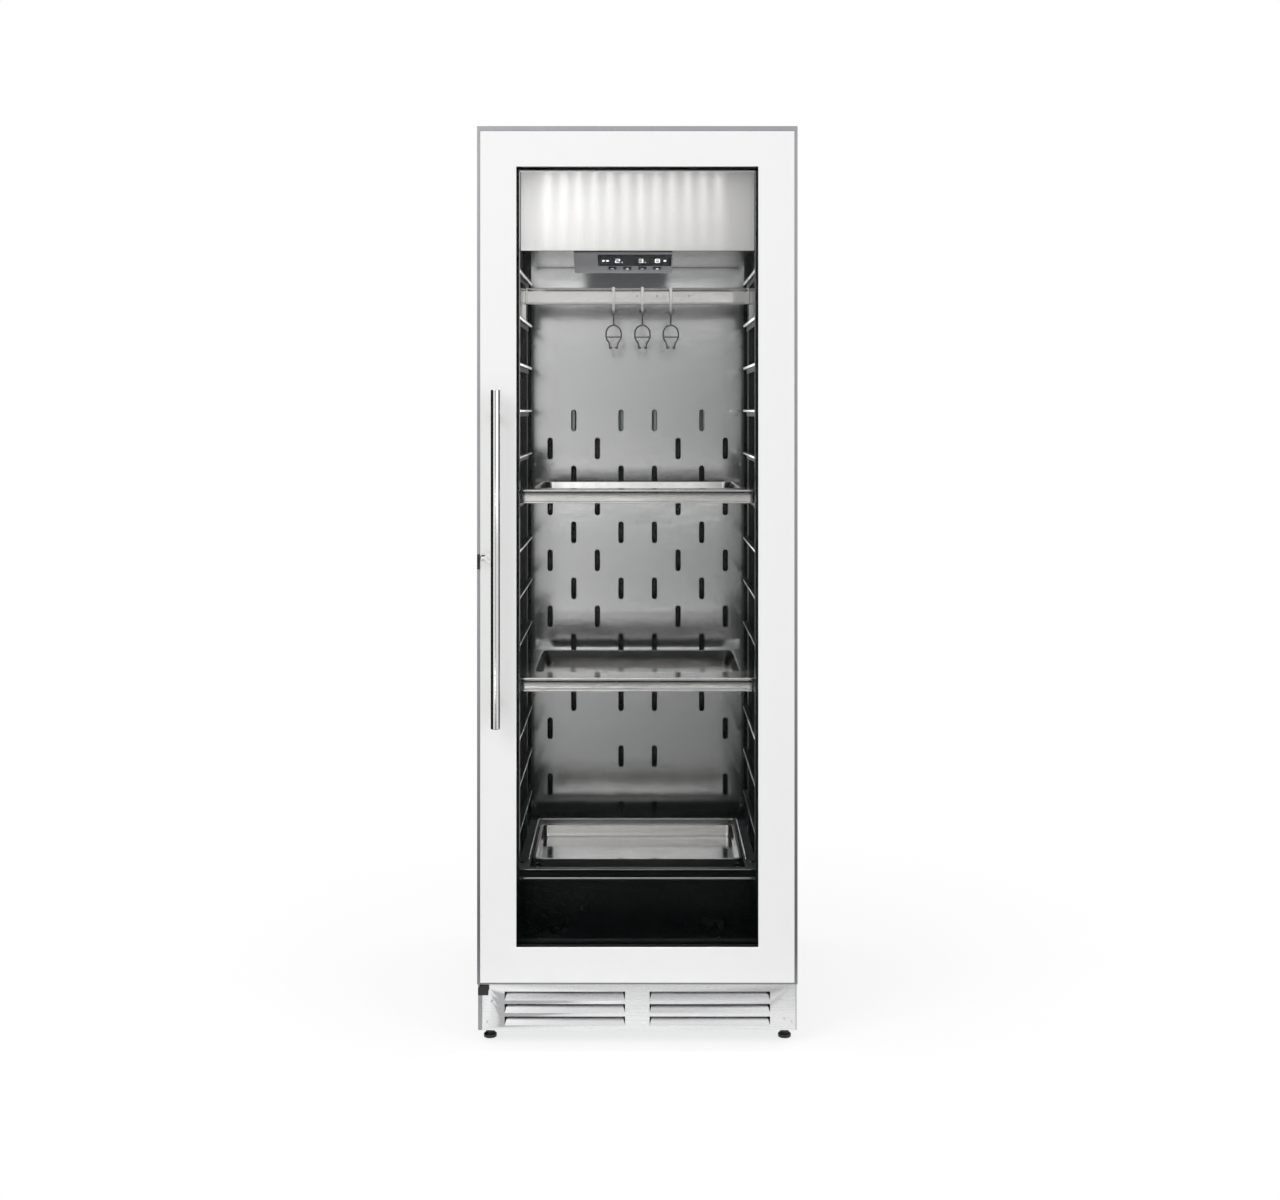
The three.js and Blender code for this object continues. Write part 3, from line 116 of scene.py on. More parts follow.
# What each surface is made of: colour and second colour, metallic, roughness and how far it spreads,
# grain (the pattern's length along X, Y and Z) and relief (its height), both in mm. Grains finer
# than about 1.5 mm are drawn that coarse, so that they show.
finishes = {
    # stainless sheet brushed side to side: fine level lines, highlights drawn out upright
    "stainlessBrushedLevel": ("#E8E8E9", "#DADADB", 1, 0.27, 0.08, (90, 90, 1.5), 0.002),
    # the top module's cover, finely brushed: bright, and it draws each lamp out into a soft upright streak
    "stainlessBrushedFine": ("#F2F1F0", "#EDECEB", 1, 0.42, 0.02, (120, 120, 1.5), 0.0005),
    # steel angle, folded, coloured dark as painted shade inside the cabinet (the bar's rivets take it too): a
    # dull dark sheen
    "steelPaintedShade": ("#3C3C3D", "#343435", 1, 0.34, 0.08, (3, 3, 3), 0.004),
    # edges of the rails and their clips, pale grey as a painted highlight that the bay lamps light: an even,
    # soft coat
    "greyPaintedHighlight": ("#D4D4D3", "#CBCBCA", 0, 0.45, 0.06, (3, 3, 3), 0.01),
    # steel wire, drawn and chromed: thin bright lights on a darker body
    "steelWireChromed": ("#8E8E8C", "#848482", 1, 0.16, 0.04, (4, 4, 4), 0.002),
    # the slotted back sheet, cold rolled: a cloudy mirror with slow waves, so reflections bend in it
    "stainlessColdRolled": ("#DADADA", "#D2D2D3", 1, 0.13, 0.04, (180, 180, 90), 0.5),
    # stainless sheet, bright rolled and folded: nearly a mirror, with slow waves from the folding
    "stainlessBright": ("#DCDBD9", "#D2D1CF", 1, 0.12, 0.06, (160, 60, 60), 0.3),
    # stainless bar and wire, turned and polished: sharp reflections, hardly any grain
    "stainlessPolished": ("#DADAD8", "#CFCFCD", 1, 0.09, 0.05, (8, 8, 8), 0.002),
    # aluminium profile, satin anodised: even grey sheen with faint drawing lines along its length
    "aluminiumAnodised": ("#A2A2A6", "#929296", 1, 0.38, 0.06, (1.5, 1.5, 80), 0.002),
    # sheet steel, white lacquered: smooth and bright with a soft gloss and slight orange peel
    "steelLacqueredWhite": ("#EDEDED", "#ECECEC", 0, 0.28, 0.01, (40, 40, 40), 0.002),
    # ABS, moulded with a fine spark texture: dull black with small glints
    "absMouldedBlack": ("#121212", "#181818", 0, 0.42, 0.1, (1.5, 1.5, 1.5), 0.02),
    # ABS, moulded in a polished tool: black with a clear gloss
    "absMouldedGloss": ("#0D0D0E", "#111112", 0, 0.16, 0.04, (12, 12, 12), 0.003),
    # ABS, moulded and textured: dark grey, dull, for the control pod
    "absMouldedGrey": ("#6A6A6D", "#707073", 0, 0.45, 0.08, (1.5, 1.5, 1.5), 0.01),
    # polystyrene, vacuum formed: black, half gloss, with long soft waves
    "polystyreneFormedBlack": ("#0A0A0B", "#0E0E10", 0, 0.24, 0.08, (90, 90, 90), 0.1),
    # sheet steel, powder coated: satin grey with an even orange peel
    "steelPowderCoated": ("#8E8F92", "#88898C", 0, 0.45, 0.08, (2, 2, 2), 0.02),
    # PVC, extruded: soft matt black
    "pvcExtrudedBlack": ("#151515", "#1A1A1A", 0, 0.62, 0.08, (3, 3, 3), 0.01),
    # steel, enamelled black: thick gloss with a faint ripple
    "steelEnamelledBlack": ("#161617", "#1B1B1C", 0, 0.32, 0.08, (9, 9, 9), 0.03),
    # aluminium fin stock, rolled: pale grey, dull, with upright lines
    "aluminiumRolled": ("#B8BCBE", "#A4A8AA", 1, 0.42, 0.12, (2, 2, 30), 0.01),
    # polyurethane foam, foamed in place: pale yellow, matt, with small cells
    "polyurethaneFoamed": ("#D9CFA8", "#C9BE94", 0, 0.9, 0.05, (2.5, 2.5, 2.5), 0.25),
}


# A new material with its node tree, its shader and the object's own coordinates
def startMaterial(name):
    material = bpy.data.materials.new(name)
    material.use_nodes = True
    tree = material.node_tree
    place = addNode(tree, "TexCoord", {})
    return material, tree, tree.nodes["Principled BSDF"], place.outputs["Object"]


# Mixes two colours into the shader's base colour
def addTone(tree, shader, colours, share):
    tone = addNode(tree, "Mix", {"data_type": "RGBA", 6: linear(colours[0]), 7: linear(colours[1])},
                   (0, share))
    tree.links.new(tone.outputs[2], shader.inputs["Base Color"])


def addFinish(name, colour, second, metallic, roughness, spread, grain, relief):
    material, tree, shader, place = startMaterial(name)
    shader.inputs["Metallic"].default_value = metallic
    scaled = addNode(tree, "Mapping", {"Scale": [1 / (g * mm) for g in grain]}, ("Vector", place))
    noise = addNode(tree, "TexNoise", {"Scale": 1, "Detail": 3, "Roughness": 0.55},
                    ("Vector", scaled.outputs[0]))
    pattern = noise.outputs["Fac"]
    addTone(tree, shader, (colour, second), pattern)
    gloss = addNode(tree, "MapRange", {"From Min": 0.3, "From Max": 0.7, "To Min": roughness - spread / 2,
                                       "To Max": roughness + spread / 2}, ("Value", pattern))
    bump = addNode(tree, "Bump", {"Distance": relief * mm}, ("Height", pattern))
    tree.links.new(gloss.outputs[0], shader.inputs["Roughness"])
    tree.links.new(bump.outputs[0], shader.inputs["Normal"])
    return material


finish = {name: addFinish(name, *values) for name, values in finishes.items()}

# Brushed sheet draws a lamp out into an upright streak, across its level grain
stretches = {"stainlessBrushedLevel": 0.8, "stainlessBrushedFine": 0.9}
for name, stretch in stretches.items():
    brushed = finish[name].node_tree.nodes["Principled BSDF"]
    brushed.inputs["Anisotropic"].default_value = stretch
    brushed.inputs["Anisotropic Rotation"].default_value = 0.25  # a quarter turn

# Steel sheet, hot-dip galvanised: a grey patchwork of zinc crystals, each with its own sheen
spangle = {"size": 14, "tones": ("#A9AEB1", "#8C9194"), "roughLow": 0.38, "roughHigh": 0.55}


def addGalvanised(s):
    material, tree, shader, place = startMaterial("steelGalvanised")
    shader.inputs["Metallic"].default_value = 1
    cells = addNode(tree, "TexVoronoi", {"Scale": 1 / (s["size"] * mm)}, ("Vector", place))
    shade = addNode(tree, "SeparateColor", {}, ("Color", cells.outputs["Color"]))
    addTone(tree, shader, s["tones"], shade.outputs[0])
    gloss = addNode(tree, "MapRange", {"To Min": s["roughLow"], "To Max": s["roughHigh"]},
                    ("Value", shade.outputs[1]))
    tree.links.new(gloss.outputs[0], shader.inputs["Roughness"])
    return material


finish["steelGalvanised"] = addGalvanised(spangle)

# Clear and lit materials: two tones, the cloud between them, and the shader's own sockets
clears = {
    # float glass, polished: a clear pane that only greys what lies behind it a little
    "glassFloat": {"tones": ("#10201C", "#0C1815"), "cloud": {"Scale": 1 / (200 * mm), "Detail": 1},
                   "sockets": {"Alpha": 0.05, "Roughness": 0.03, "IOR": 1.5}},
    # polycarbonate lens over a light-emitting diode: milky white, lit from inside
    "polycarbonateLit": {"tones": ("#FAFAF2", "#E6E6DE"), "cloud": {"Scale": 1 / (4 * mm)},
                         "sockets": {"Roughness": 0.3, "Emission Strength": 6,
                                     "Emission Color": linear("#FFFDF6")}},
    # printed marks on the display and the keys, lit from behind
    "inkLit": {"tones": ("#F2F4F6", "#E6E6DE"), "cloud": {"Scale": 1 / (4 * mm)},
               "sockets": {"Roughness": 0.5, "Emission Strength": 0.8, "Emission Color": linear("#F2F6FA")}},
}


def addClear(name, c):
    material, tree, shader, place = startMaterial(name)
    for socket, value in c["sockets"].items():
        shader.inputs[socket].default_value = value
    cloud = addNode(tree, "TexNoise", c["cloud"], ("Vector", place))
    addTone(tree, shader, c["tones"], cloud.outputs["Fac"])
    return material


for name, c in clears.items():
    finish[name] = addClear(name, c)
print("materials ready")

# Studio: white behind the object and in its reflections, plain soft light on its surfaces. The floor
# fades from fadeStart to fadeEnd, in metres from the object's middle
studio = {"skyStrength": 0.76, "floorColour": "#E9E9E9", "floorSeenColour": "#9C9C9C", "floorGlow": 0.72,
          "floorHalf": 7, "fadeStart": 0.55, "fadeEnd": 1.5, "aim": (0, -0.2, 0.95)}

# Soft lamps before the object: place, size, power
lamps = {"key": ((-2.3, -2.9, 2.9), 2.2, 42), "fill": ((2.5, -2.8, 1.7), 2, 18)}


def seenRays(tree):
    path = addNode(tree, "LightPath", {})
    eye = addNode(tree, "Math", {"operation": "MAXIMUM"}, (0, path.outputs["Is Camera Ray"]),
                  (1, path.outputs["Is Glossy Ray"]))
    return addNode(tree, "Math", {"operation": "MAXIMUM"}, (0, eye.outputs[0]),
                   (1, path.outputs["Is Transmission Ray"]))


def emptyTree(owner):
    owner.use_nodes = True
    owner.node_tree.nodes.clear()
    return owner.node_tree


def addWorld(s):
    world = bpy.data.worlds.new("studio")
    tree = emptyTree(world)
    white = linear("#FFFFFF")
    dim = addNode(tree, "Background", {"Color": white, "Strength": s["skyStrength"]})
    full = addNode(tree, "Background", {"Color": white})
    mix = addNode(tree, "MixShader", {}, (0, seenRays(tree).outputs[0]), (1, dim.outputs[0]),
                  (2, full.outputs[0]))
    addNode(tree, "OutputWorld", {}, ("Surface", mix.outputs[0]))
    scene.world = world


def addSheet(name, corners, material):
    mesh = bpy.data.meshes.new(name)
    mesh.from_pydata(corners, [], [(0, 1, 2, 3)])
    mesh.materials.append(material)
    obj = addObject(name, mesh)
    obj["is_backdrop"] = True
    return obj


# The floor takes the object's shadow near by and runs out into the white further off
def addFloor(s):
    h = s["floorHalf"]
    material = bpy.data.materials.new("paperMatt")
    tree = emptyTree(material)
    plain = addNode(tree, "BsdfDiffuse", {"Color": linear(s["floorColour"])})
    seen = addNode(tree, "BsdfDiffuse", {"Color": linear(s["floorSeenColour"])})
    glow = addNode(tree, "Emission", {"Strength": s["floorGlow"]})
    white = addNode(tree, "Emission", {})
    bright = addNode(tree, "AddShader", {}, (0, seen.outputs[0]), (1, glow.outputs[0]))
    place = addNode(tree, "TexCoord", {})
    away = addNode(tree, "VectorMath", {"operation": "LENGTH"}, (0, place.outputs["Object"]))
    fade = addNode(tree, "MapRange", {"interpolation_type": "SMOOTHSTEP", "From Min": s["fadeStart"],
                                      "From Max": s["fadeEnd"]}, ("Value", away.outputs["Value"]))
    near = addNode(tree, "MixShader", {}, (0, fade.outputs[0]), (1, bright.outputs[0]), (2, white.outputs[0]))
    mix = addNode(tree, "MixShader", {}, (0, seenRays(tree).outputs[0]), (1, plain.outputs[0]),
                  (2, near.outputs[0]))
    addNode(tree, "OutputMaterial", {}, ("Surface", mix.outputs[0]))
    addSheet("floor", [(-h, -h, 0), (h, -h, 0), (h, h, 0), (-h, h, 0)], material)


# A square lamp, or an oblong one where it is given a depth
def addLamp(name, place, aim, size, power, depth=None):
    data = bpy.data.lights.new(name, "AREA")
    data.energy = power
    data.size = size
    if depth:
        data.shape = "RECTANGLE"
        data.size_y = depth
    obj = addObject(name, data)
    obj.location = place
    obj.rotation_euler = (Vector(aim) - Vector(place)).to_track_quat("-Z", "Y").to_euler()
    return obj


# Cards round the object that show only in its gloss, so that polished metal has dark edges: first and
# second strength, low and high corner, lean. The strength runs from the first to the second as the
# share along X and Z, weighed by lean, goes from its lowest to its highest
cards = {
    "left": (0.01, 0.01, (-1.6, -1.6, 0), (-1.6, 1.6, 2.4), (0, 1)),
    "right": (0.3, 0.3, (1.7, -0.6, 0), (1.7, 1.6, 2.4), (0, 1)),
    "front": (1.45, 0.05, (-1.3, -5.2, 0), (1.3, -5.2, 1.92), (1, -0.12)),
    "over": (2, 1.1, (-1.3, -5.2, 1.92), (1.3, -5.2, 2.9), (1, 0)),
    "barStrip": (1.4, 1.15, (-1.3, -5.1, 1.69), (1.3, -5.1, 1.9), (1, 0)),
    "shelfStrip": (2.4, 1.4, (-1.3, -5.1, 0.72), (1.3, -5.1, 0.83), (1, 0)),
    "ground": (0.9, 0, (-1.3, -5.2, 0.02), (1.3, -1.35, 0.02), (1, 0)),
    "groundStrip": (3.4, 2, (-1.3, -4.7, 0.03), (1.3, -4.1, 0.03), (1, 0)),
    "flag": (0.03, 0.03, (-1.3, -1.35, 0.02), (1.3, -0.62, 0.02), (1, 0)),
    "brow": (1.6, 0.8, (-0.25, -0.262, 1.5), (0.25, -0.262, 1.655), (1, 0)),
}

# Beside the window's edges, so that the back sheet is as bright there as in its middle
jamb = {"spans": ((0.33, 0.62), (0.74, 0.98), (1.1, 1.5)), "inner": 0.205, "outer": 0.262, "y": -0.18,
        "Left": (0.35, 0.5775, 0.7855), "Right": (0.15, 0.2725, 0.3845), "rise": {"Left": 0.2, "Right": 0.1}}
for side, name in ((-1, "Left"), (1, "Right")):
    x0, x1 = sorted((side * jamb["inner"], side * jamb["outer"]))
    for (low, high), first in zip(jamb["spans"], jamb[name]):
        cards[f"jamb{name}{low}"] = (first, first + jamb["rise"][name], (x0, jamb["y"], low),
                                     (x1, jamb["y"], high), (0, 1))

# The light of each diode as the brushed cover draws it out, weaker towards the right
streak = {"count": 12, "pitch": 0.0318, "shift": -0.009, "half": 0.006, "y": -0.2615, "low": 1.5,
          "high": 1.65, "middle": 1.2, "fall": 1.6, "foot": 1.45, "head": 2}
for i in range(streak["count"]):
    x = (i - (streak["count"] - 1) / 2) * streak["pitch"] + streak["shift"]
    base = streak["middle"] - streak["fall"] * x
    cards[f"streak{i + 1}"] = (base * streak["foot"], base * streak["head"],
                               (x - streak["half"], streak["y"], streak["low"]),
                               (x + streak["half"], streak["y"], streak["high"]), (0, 1))

# Soft lamps inside the cabinet that light only dull surfaces, one in each bay: place, aim, power
bays = {
    "bayPod": ((-0.03, 0.2, 1.44), (-0.03, -0.1, 1.49), 0.6),
    "bayUpper": ((0.06, -0.2, 1.07), (-0.02, 0.05, 1.6), 2.6),
    "bayHanging": ((0.06, -0.2, 1.38), (-0.02, 0.05, 1), 2.6),
    "bayMiddle": ((0.06, -0.22, 1), (-0.02, 0.05, 0.6), 3.2),
    "bayLower": ((0.06, -0.22, 0.64), (-0.02, 0.05, 0.25), 3.2),
}
baySize = (0.3, 0.04)


def addCard(name, first, second, low, high, lean):
    (x0, y0, z0), (x1, y1, z1) = low, high
    corners = [low, (x1, y1, z0), high, (x0, y0, z1)]
    if z0 == z1:
        corners = [low, (x1, y0, z0), high, (x0, y1, z0)]
    material = bpy.data.materials.new("card_" + name)
    tree = emptyTree(material)
    place = addNode(tree, "TexCoord", {})
    share = addNode(tree, "VectorMath", {"operation": "DOT_PRODUCT", 1: (lean[0], 0, lean[1])},
                    (0, place.outputs["Generated"]))
    ramp = addNode(tree, "MapRange", {"From Min": min(0, *lean), "From Max": max(0, *lean), "To Min": first,
                                      "To Max": second}, ("Value", share.outputs["Value"]))
    glow = addNode(tree, "Emission", {}, ("Strength", ramp.outputs[0]))
    addNode(tree, "OutputMaterial", {}, ("Surface", glow.outputs[0]))
    card = addSheet("card_" + name, corners, material)
    for ray in ("camera", "diffuse", "shadow", "transmission"):
        setattr(card, "visible_" + ray, False)


addWorld(studio)
addFloor(studio)
for name, (place, size, power) in lamps.items():
    addLamp(name, place, studio["aim"], size, power)
for name, card in cards.items():
    addCard(name, *card)
for name, (place, aim, power) in bays.items():
    bay = addLamp(name, place, aim, baySize[0], power, baySize[1])
    bay.visible_glossy = False
print("studio ready")


# Mesh helpers, in mm

def span(node):
    low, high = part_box(node)
    return low / mm, high / mm


def addPiece(name, bm, material, body, stands=(), sharp=35):
    mesh = bpy.data.meshes.new(name)
    bmesh.ops.recalc_face_normals(bm, faces=bm.faces)
    bm.to_mesh(mesh)
    bm.free()
    mesh.transform(Matrix.Scale(mm, 4))
    mesh.materials.append(finish[material])
    mesh.shade_smooth()
    mesh.set_sharp_from_angle(angle=radians(sharp))
    obj = addObject(name, mesh)
    obj.modifiers.new("flatFaces", "WEIGHTED_NORMAL").keep_sharp = True
    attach(obj, body)
    if stands:
        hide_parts(*stands)
    return obj


def standFor(node, name, bm, material, sharp=35):
    return addPiece(name, bm, material, bodyOf[node], (node,), sharp)


# Joins flat faces and rounds the edges that are sharper than an angle
def soften(bm, angle, radius, steps):
    bmesh.ops.dissolve_limit(bm, angle_limit=radians(0.5), verts=bm.verts, edges=bm.edges)
    corners = [e for e in bm.edges if e.is_manifold and e.calc_face_angle(0) > radians(angle)]
    bmesh.ops.bevel(bm, geom=corners, offset=radius, segments=steps, profile=0.5, affect="EDGES",
                    clamp_overlap=True)


# A CAD solid with its edges rounded
def dress(node, material, edge, steps=2, sharp=35):
    bm = bmesh.new()
    bm.from_mesh(nodes[node].data)
    bmesh.ops.scale(bm, vec=(1 / mm,) * 3, verts=bm.verts)
    bmesh.ops.remove_doubles(bm, verts=bm.verts, dist=0.001)
    soften(bm, 28, edge, steps)
    return standFor(node, node + "_finished", bm, material, sharp)


def dressAll(table):
    for node, values in table.items():
        dress(node, *values)


# A second finish for the faces that a test picks
def coat(obj, material, picks):
    obj.data.materials.append(finish[material])
    for face in obj.data.polygons:
        face.material_index = int(picks(face))


# Joins rings of points, one after another, and caps the ends
def loft(bm, rings, capStart=True, capEnd=True):
    made = [[bm.verts.new(p) for p in ring] for ring in rings]
    count = len(made[0])
    for a, b in zip(made, made[1:]):
        for i in range(count):
            j = (i + 1) % count
            bm.faces.new((a[i], a[j], b[j], b[i]))
    if capStart:
        bm.faces.new(made[0])
    if capEnd:
        bm.faces.new(made[-1])


# Angles through a quarter turn
def quarter(steps):
    return [pi / 2 * i / steps for i in range(steps + 1)]


# Points round an oval, as (x, y) pairs
def oval(x, y, halfX, halfY, steps):
    angles = [2 * pi * i / steps for i in range(steps)]
    return [(x + halfX * cos(a), y + halfY * sin(a)) for a in angles]


# A profile of (radius, height) pairs turned about the Z or Y axis through a place
def turn(bm, profile, place, axis="Z", steps=48, caps=True):
    spin = Matrix.Rotation(-pi / 2, 3, "X") if axis == "Y" else Matrix.Identity(3)
    rings = [[Vector(place) + spin @ Vector((x, y, height)) for x, y in oval(0, 0, radius, radius, steps)]
             for radius, height in profile]
    loft(bm, rings, caps, caps)


# A rectangle with rounded corners, as (x, y) pairs
def roundedBox(x0, x1, y0, y1, radius, steps=8):
    points = []
    for cx, cy, first in ((x1 - radius, y1 - radius, 0), (x0 + radius, y1 - radius, 90),
                          (x0 + radius, y0 + radius, 180), (x1 - radius, y0 + radius, 270)):
        for i in range(steps + 1):
            a = radians(first + 90 * i / steps)
            points.append((cx + radius * cos(a), cy + radius * sin(a)))
    return points


# A folded sheet's closed edge: a round bead along X
def addHem(bm, x0, x1, y, z, radius):
    addWire(bm, [(x0, y, z), (x1, y, z)], radius, 16)


# Points along straight runs with each corner rounded over the length of bend
def softRoute(corners, bend, steps=8):
    places = [Vector(c) for c in corners]
    route = [places[0]]
    for before, here, after in zip(places, places[1:], places[2:]):
        start, end = (here + (far - here).normalized() * min(bend, (far - here).length * 0.48)
                      for far in (before, after))
        for i in range(steps + 1):
            t = i / steps
            route.append(start * (1 - t) ** 2 + here * 2 * t * (1 - t) + end * t ** 2)
    route.append(places[-1])
    return route


# A round wire along a route
def addWire(bm, route, radius, steps=12):
    route = [Vector(place) for place in route]
    side = (route[1] - route[0]).normalized().orthogonal().normalized()
    rings = []
    for before, place, after in zip([route[0]] + route, route, route[1:] + [route[-1]]):
        now = (after - before).normalized()
        side = (side - now * side.dot(now)).normalized()
        up = now.cross(side)
        rings.append([place + radius * (side * x + up * y) for x, y in oval(0, 0, 1, 1, steps)])
    loft(bm, rings)


def addBlock(bm, x0, x1, y0, y1, z0, z1, edge=0):
    made = bmesh.ops.create_cube(bm, size=1)["verts"]
    for v in made:
        v.co = Vector((x0 + (v.co.x + 0.5) * (x1 - x0), y0 + (v.co.y + 0.5) * (y1 - y0),
                       z0 + (v.co.z + 0.5) * (z1 - z0)))
    if edge:
        edges = {e for v in made for e in v.link_edges}
        bmesh.ops.bevel(bm, geom=list(edges), offset=edge, segments=2, profile=0.5, affect="EDGES",
                        clamp_overlap=True)


# The same block on both sides of the middle: outer and inner are its distances from it
def addPair(bm, outer, inner, *rest):
    for side in (-1, 1):
        addBlock(bm, *sorted((side * outer, side * inner)), *rest)


# An outline in the (x, z) plane with holes, run from y0 to y1, through a filled curve
def plate(bm, outer, holes, y0, y1):
    curve = bpy.data.curves.new("outline", "CURVE")
    curve.dimensions = "2D"
    curve.fill_mode = "BOTH"
    curve.extrude = (y1 - y0) / 2
    for ring in [outer] + holes:
        spline = curve.splines.new("POLY")
        spline.points.add(len(ring) - 1)
        for point, (x, z) in zip(spline.points, ring):
            point.co = (x, z, 0, 1)
        spline.use_cyclic_u = True
    holder = addObject("outline", curve)
    flat = holder.evaluated_get(bpy.context.evaluated_depsgraph_get()).to_mesh()
    first = len(bm.verts)
    bm.from_mesh(flat)
    bm.verts.ensure_lookup_table()
    fresh = bm.verts[first:]
    for v in fresh:
        v.co = Vector((v.co.x, (y0 + y1) / 2 + v.co.z, v.co.y))
    bmesh.ops.remove_doubles(bm, verts=fresh, dist=0.001)
    bpy.data.objects.remove(holder)
    bpy.data.curves.remove(curve)
    return [v for v in fresh if v.is_valid]


# Screws: a low dome with a round socket, on a face that looks towards +Y or -Y
screw = {"radius": 4, "dome": 1.6, "socket": 1.4, "socketDepth": 1, "sink": 0.4, "seat": 0.1, "arc": 6}


def addScrews(name, places, facing, scale=1):
    r, dome, socket, depth = (screw[key] * scale for key in ("radius", "dome", "socket", "socketDepth"))
    arc = [(socket + (r - socket) * cos(a), dome * sin(a)) for a in quarter(screw["arc"])]
    profile = [(r, -screw["sink"])] + arc + [(socket, dome - depth)]
    bm = bmesh.new()
    for x, y, z in places:
        turn(bm, [(radius, facing * height) for radius, height in profile],
             (x, y - facing * screw["seat"], z), "Y", 16)
    addPiece(name, bm, "stainlessPolished", "cabinet")


print("helpers ready")

# Casing, insulation and the parts behind the sheets: finish, edge radius, steps round the edge
casing = {
    "outer_casing": ("steelPowderCoated", 0.3),
    "inner_liner": ("polystyreneFormedBlack", 0.6, 3),
    "rear_panel": ("steelGalvanised", 0.15),
    "rear_bay_cover": ("steelGalvanised", 0.15),
    "bay_skin": ("steelGalvanised", 0.15),
    "base_pan": ("steelGalvanised", 0.15),
    "insulation": ("polyurethaneFoamed", 0.6),
    "power_inlet": ("absMouldedBlack", 0.5),
}
dressAll(casing)

# Screws round the two rear sheets, and how many rows each has
rearScrews = {"rows": {"rear_panel": 7, "rear_bay_cover": 2}, "inset": 10, "across": (-0.5, 0, 0.5),
              "drop": 8}


def addRearScrews(r):
    places = []
    for node, rows in r["rows"].items():
        low, high = span(node)
        bottom = low.z + r["drop"]
        top = high.z - r["drop"]
        for i in range(rows):
            z = bottom + (top - bottom) * i / (rows - 1)
            places += [(x, high.y, z) for x in (low.x + r["inset"], high.x - r["inset"])]
        places += [(share * high.x, high.y, top) for share in r["across"]]
    addScrews("rear_screws", places, 1)


addRearScrews(rearScrews)
print("casing ready")

# Base: plinth, grille, cap, feet and hinge brackets
base = {
    "plinth_frame": ("aluminiumAnodised", 0.4),
    "front_grille": ("stainlessBrushedLevel", 0.4),
    "corner_cap": ("absMouldedGloss", 0.8, 3),
    "hinge_bracket_upper": ("steelGalvanised", 0.4),
    "hinge_bracket_lower": ("steelGalvanised", 0.4),
}
dressAll(base)

foot = {"edge": 1.5, "padHeight": 7, "padRadius": 12.5, "neckRadius": 8, "neckSlope": 0.6, "neckEdge": 0.5,
        "bodyHeight": 25.7, "stemRadius": 4.5, "height": 44, "threadPitch": 1.5, "threadDepth": 0.5,
        "tip": 0.1}


def addFoot(node, f):
    low, high = span(node)
    middle = (low + high) / 2
    r, e, pad, neck, body = (f[key] for key in ("padRadius", "edge", "padHeight", "neckRadius", "bodyHeight"))
    neckStart = pad + (r - neck) * f["neckSlope"]
    root = f["stemRadius"] - f["threadDepth"]
    profile = [(f["tip"], 0), (r - e, 0), (r - e * 0.3, e * 0.3), (r, e), (r, pad - e),
               (r - e * 0.3, pad - e * 0.3), (r - e, pad), (neck + e / 2, neckStart), (neck, neckStart + e),
               (neck, body - f["neckEdge"]), (neck - f["neckEdge"], body)]
    z = body
    while z + f["threadPitch"] < f["height"]:
        profile += [(root, z), (f["stemRadius"], z + f["threadPitch"] / 2)]
        z += f["threadPitch"]
    profile += [(root, z), (f["tip"], f["height"])]
    bm = bmesh.new()
    turn(bm, profile, (middle.x, middle.y, low.z))
    standFor(node, node + "_turned", bm, "absMouldedGloss", 50)


for node in nodes:
    if node.startswith("foot_"):
        addFoot(node, foot)

# Screws of the grille, as far out as the photograph's specks: places as (x, z)
grilleScrews = {"scale": 0.6, "places": [(-273, 79), (-282, 41), (268, 83), (276, 47), (290, 41)]}
grilleFront = span("front_grille")[0].y
addScrews("grille_screws", [(x, grilleFront, z) for x, z in grilleScrews["places"]], -1,
          grilleScrews["scale"])
print("base ready")

# Cooling set
cooling = {
    "condenser": ("aluminiumRolled", 0.1, 1),
    "evaporator": ("aluminiumRolled", 0.1, 1),
    "condenser_fan": ("absMouldedBlack", 0.4),
    "evaporator_fan": ("absMouldedBlack", 0.4),
    "evaporator_fan_motor": ("steelGalvanised", 0.4),
    "compressor": ("steelEnamelledBlack", 1, 3, 50),
}
dressAll(cooling)
print("cooling set ready")

# Slotted back duct: a front sheet with round-ended slots, and four returns to the wall
duct = {"sheet": 1.5, "slotHalf": (6, 24), "firstRow": 26.7, "rowPitch": 61.5, "rows": 15, "columns": 4,
        "firstColumn": 36.7, "edgeMargin": 41.5, "fanHoleRadius": 70, "fanHoleSteps": 64, "fanDrop": 82.2,
        "fold": 1.2, "screwX": 226, "screwRows": (320, 565, 817, 1071, 1330), "screwScale": 0.8}


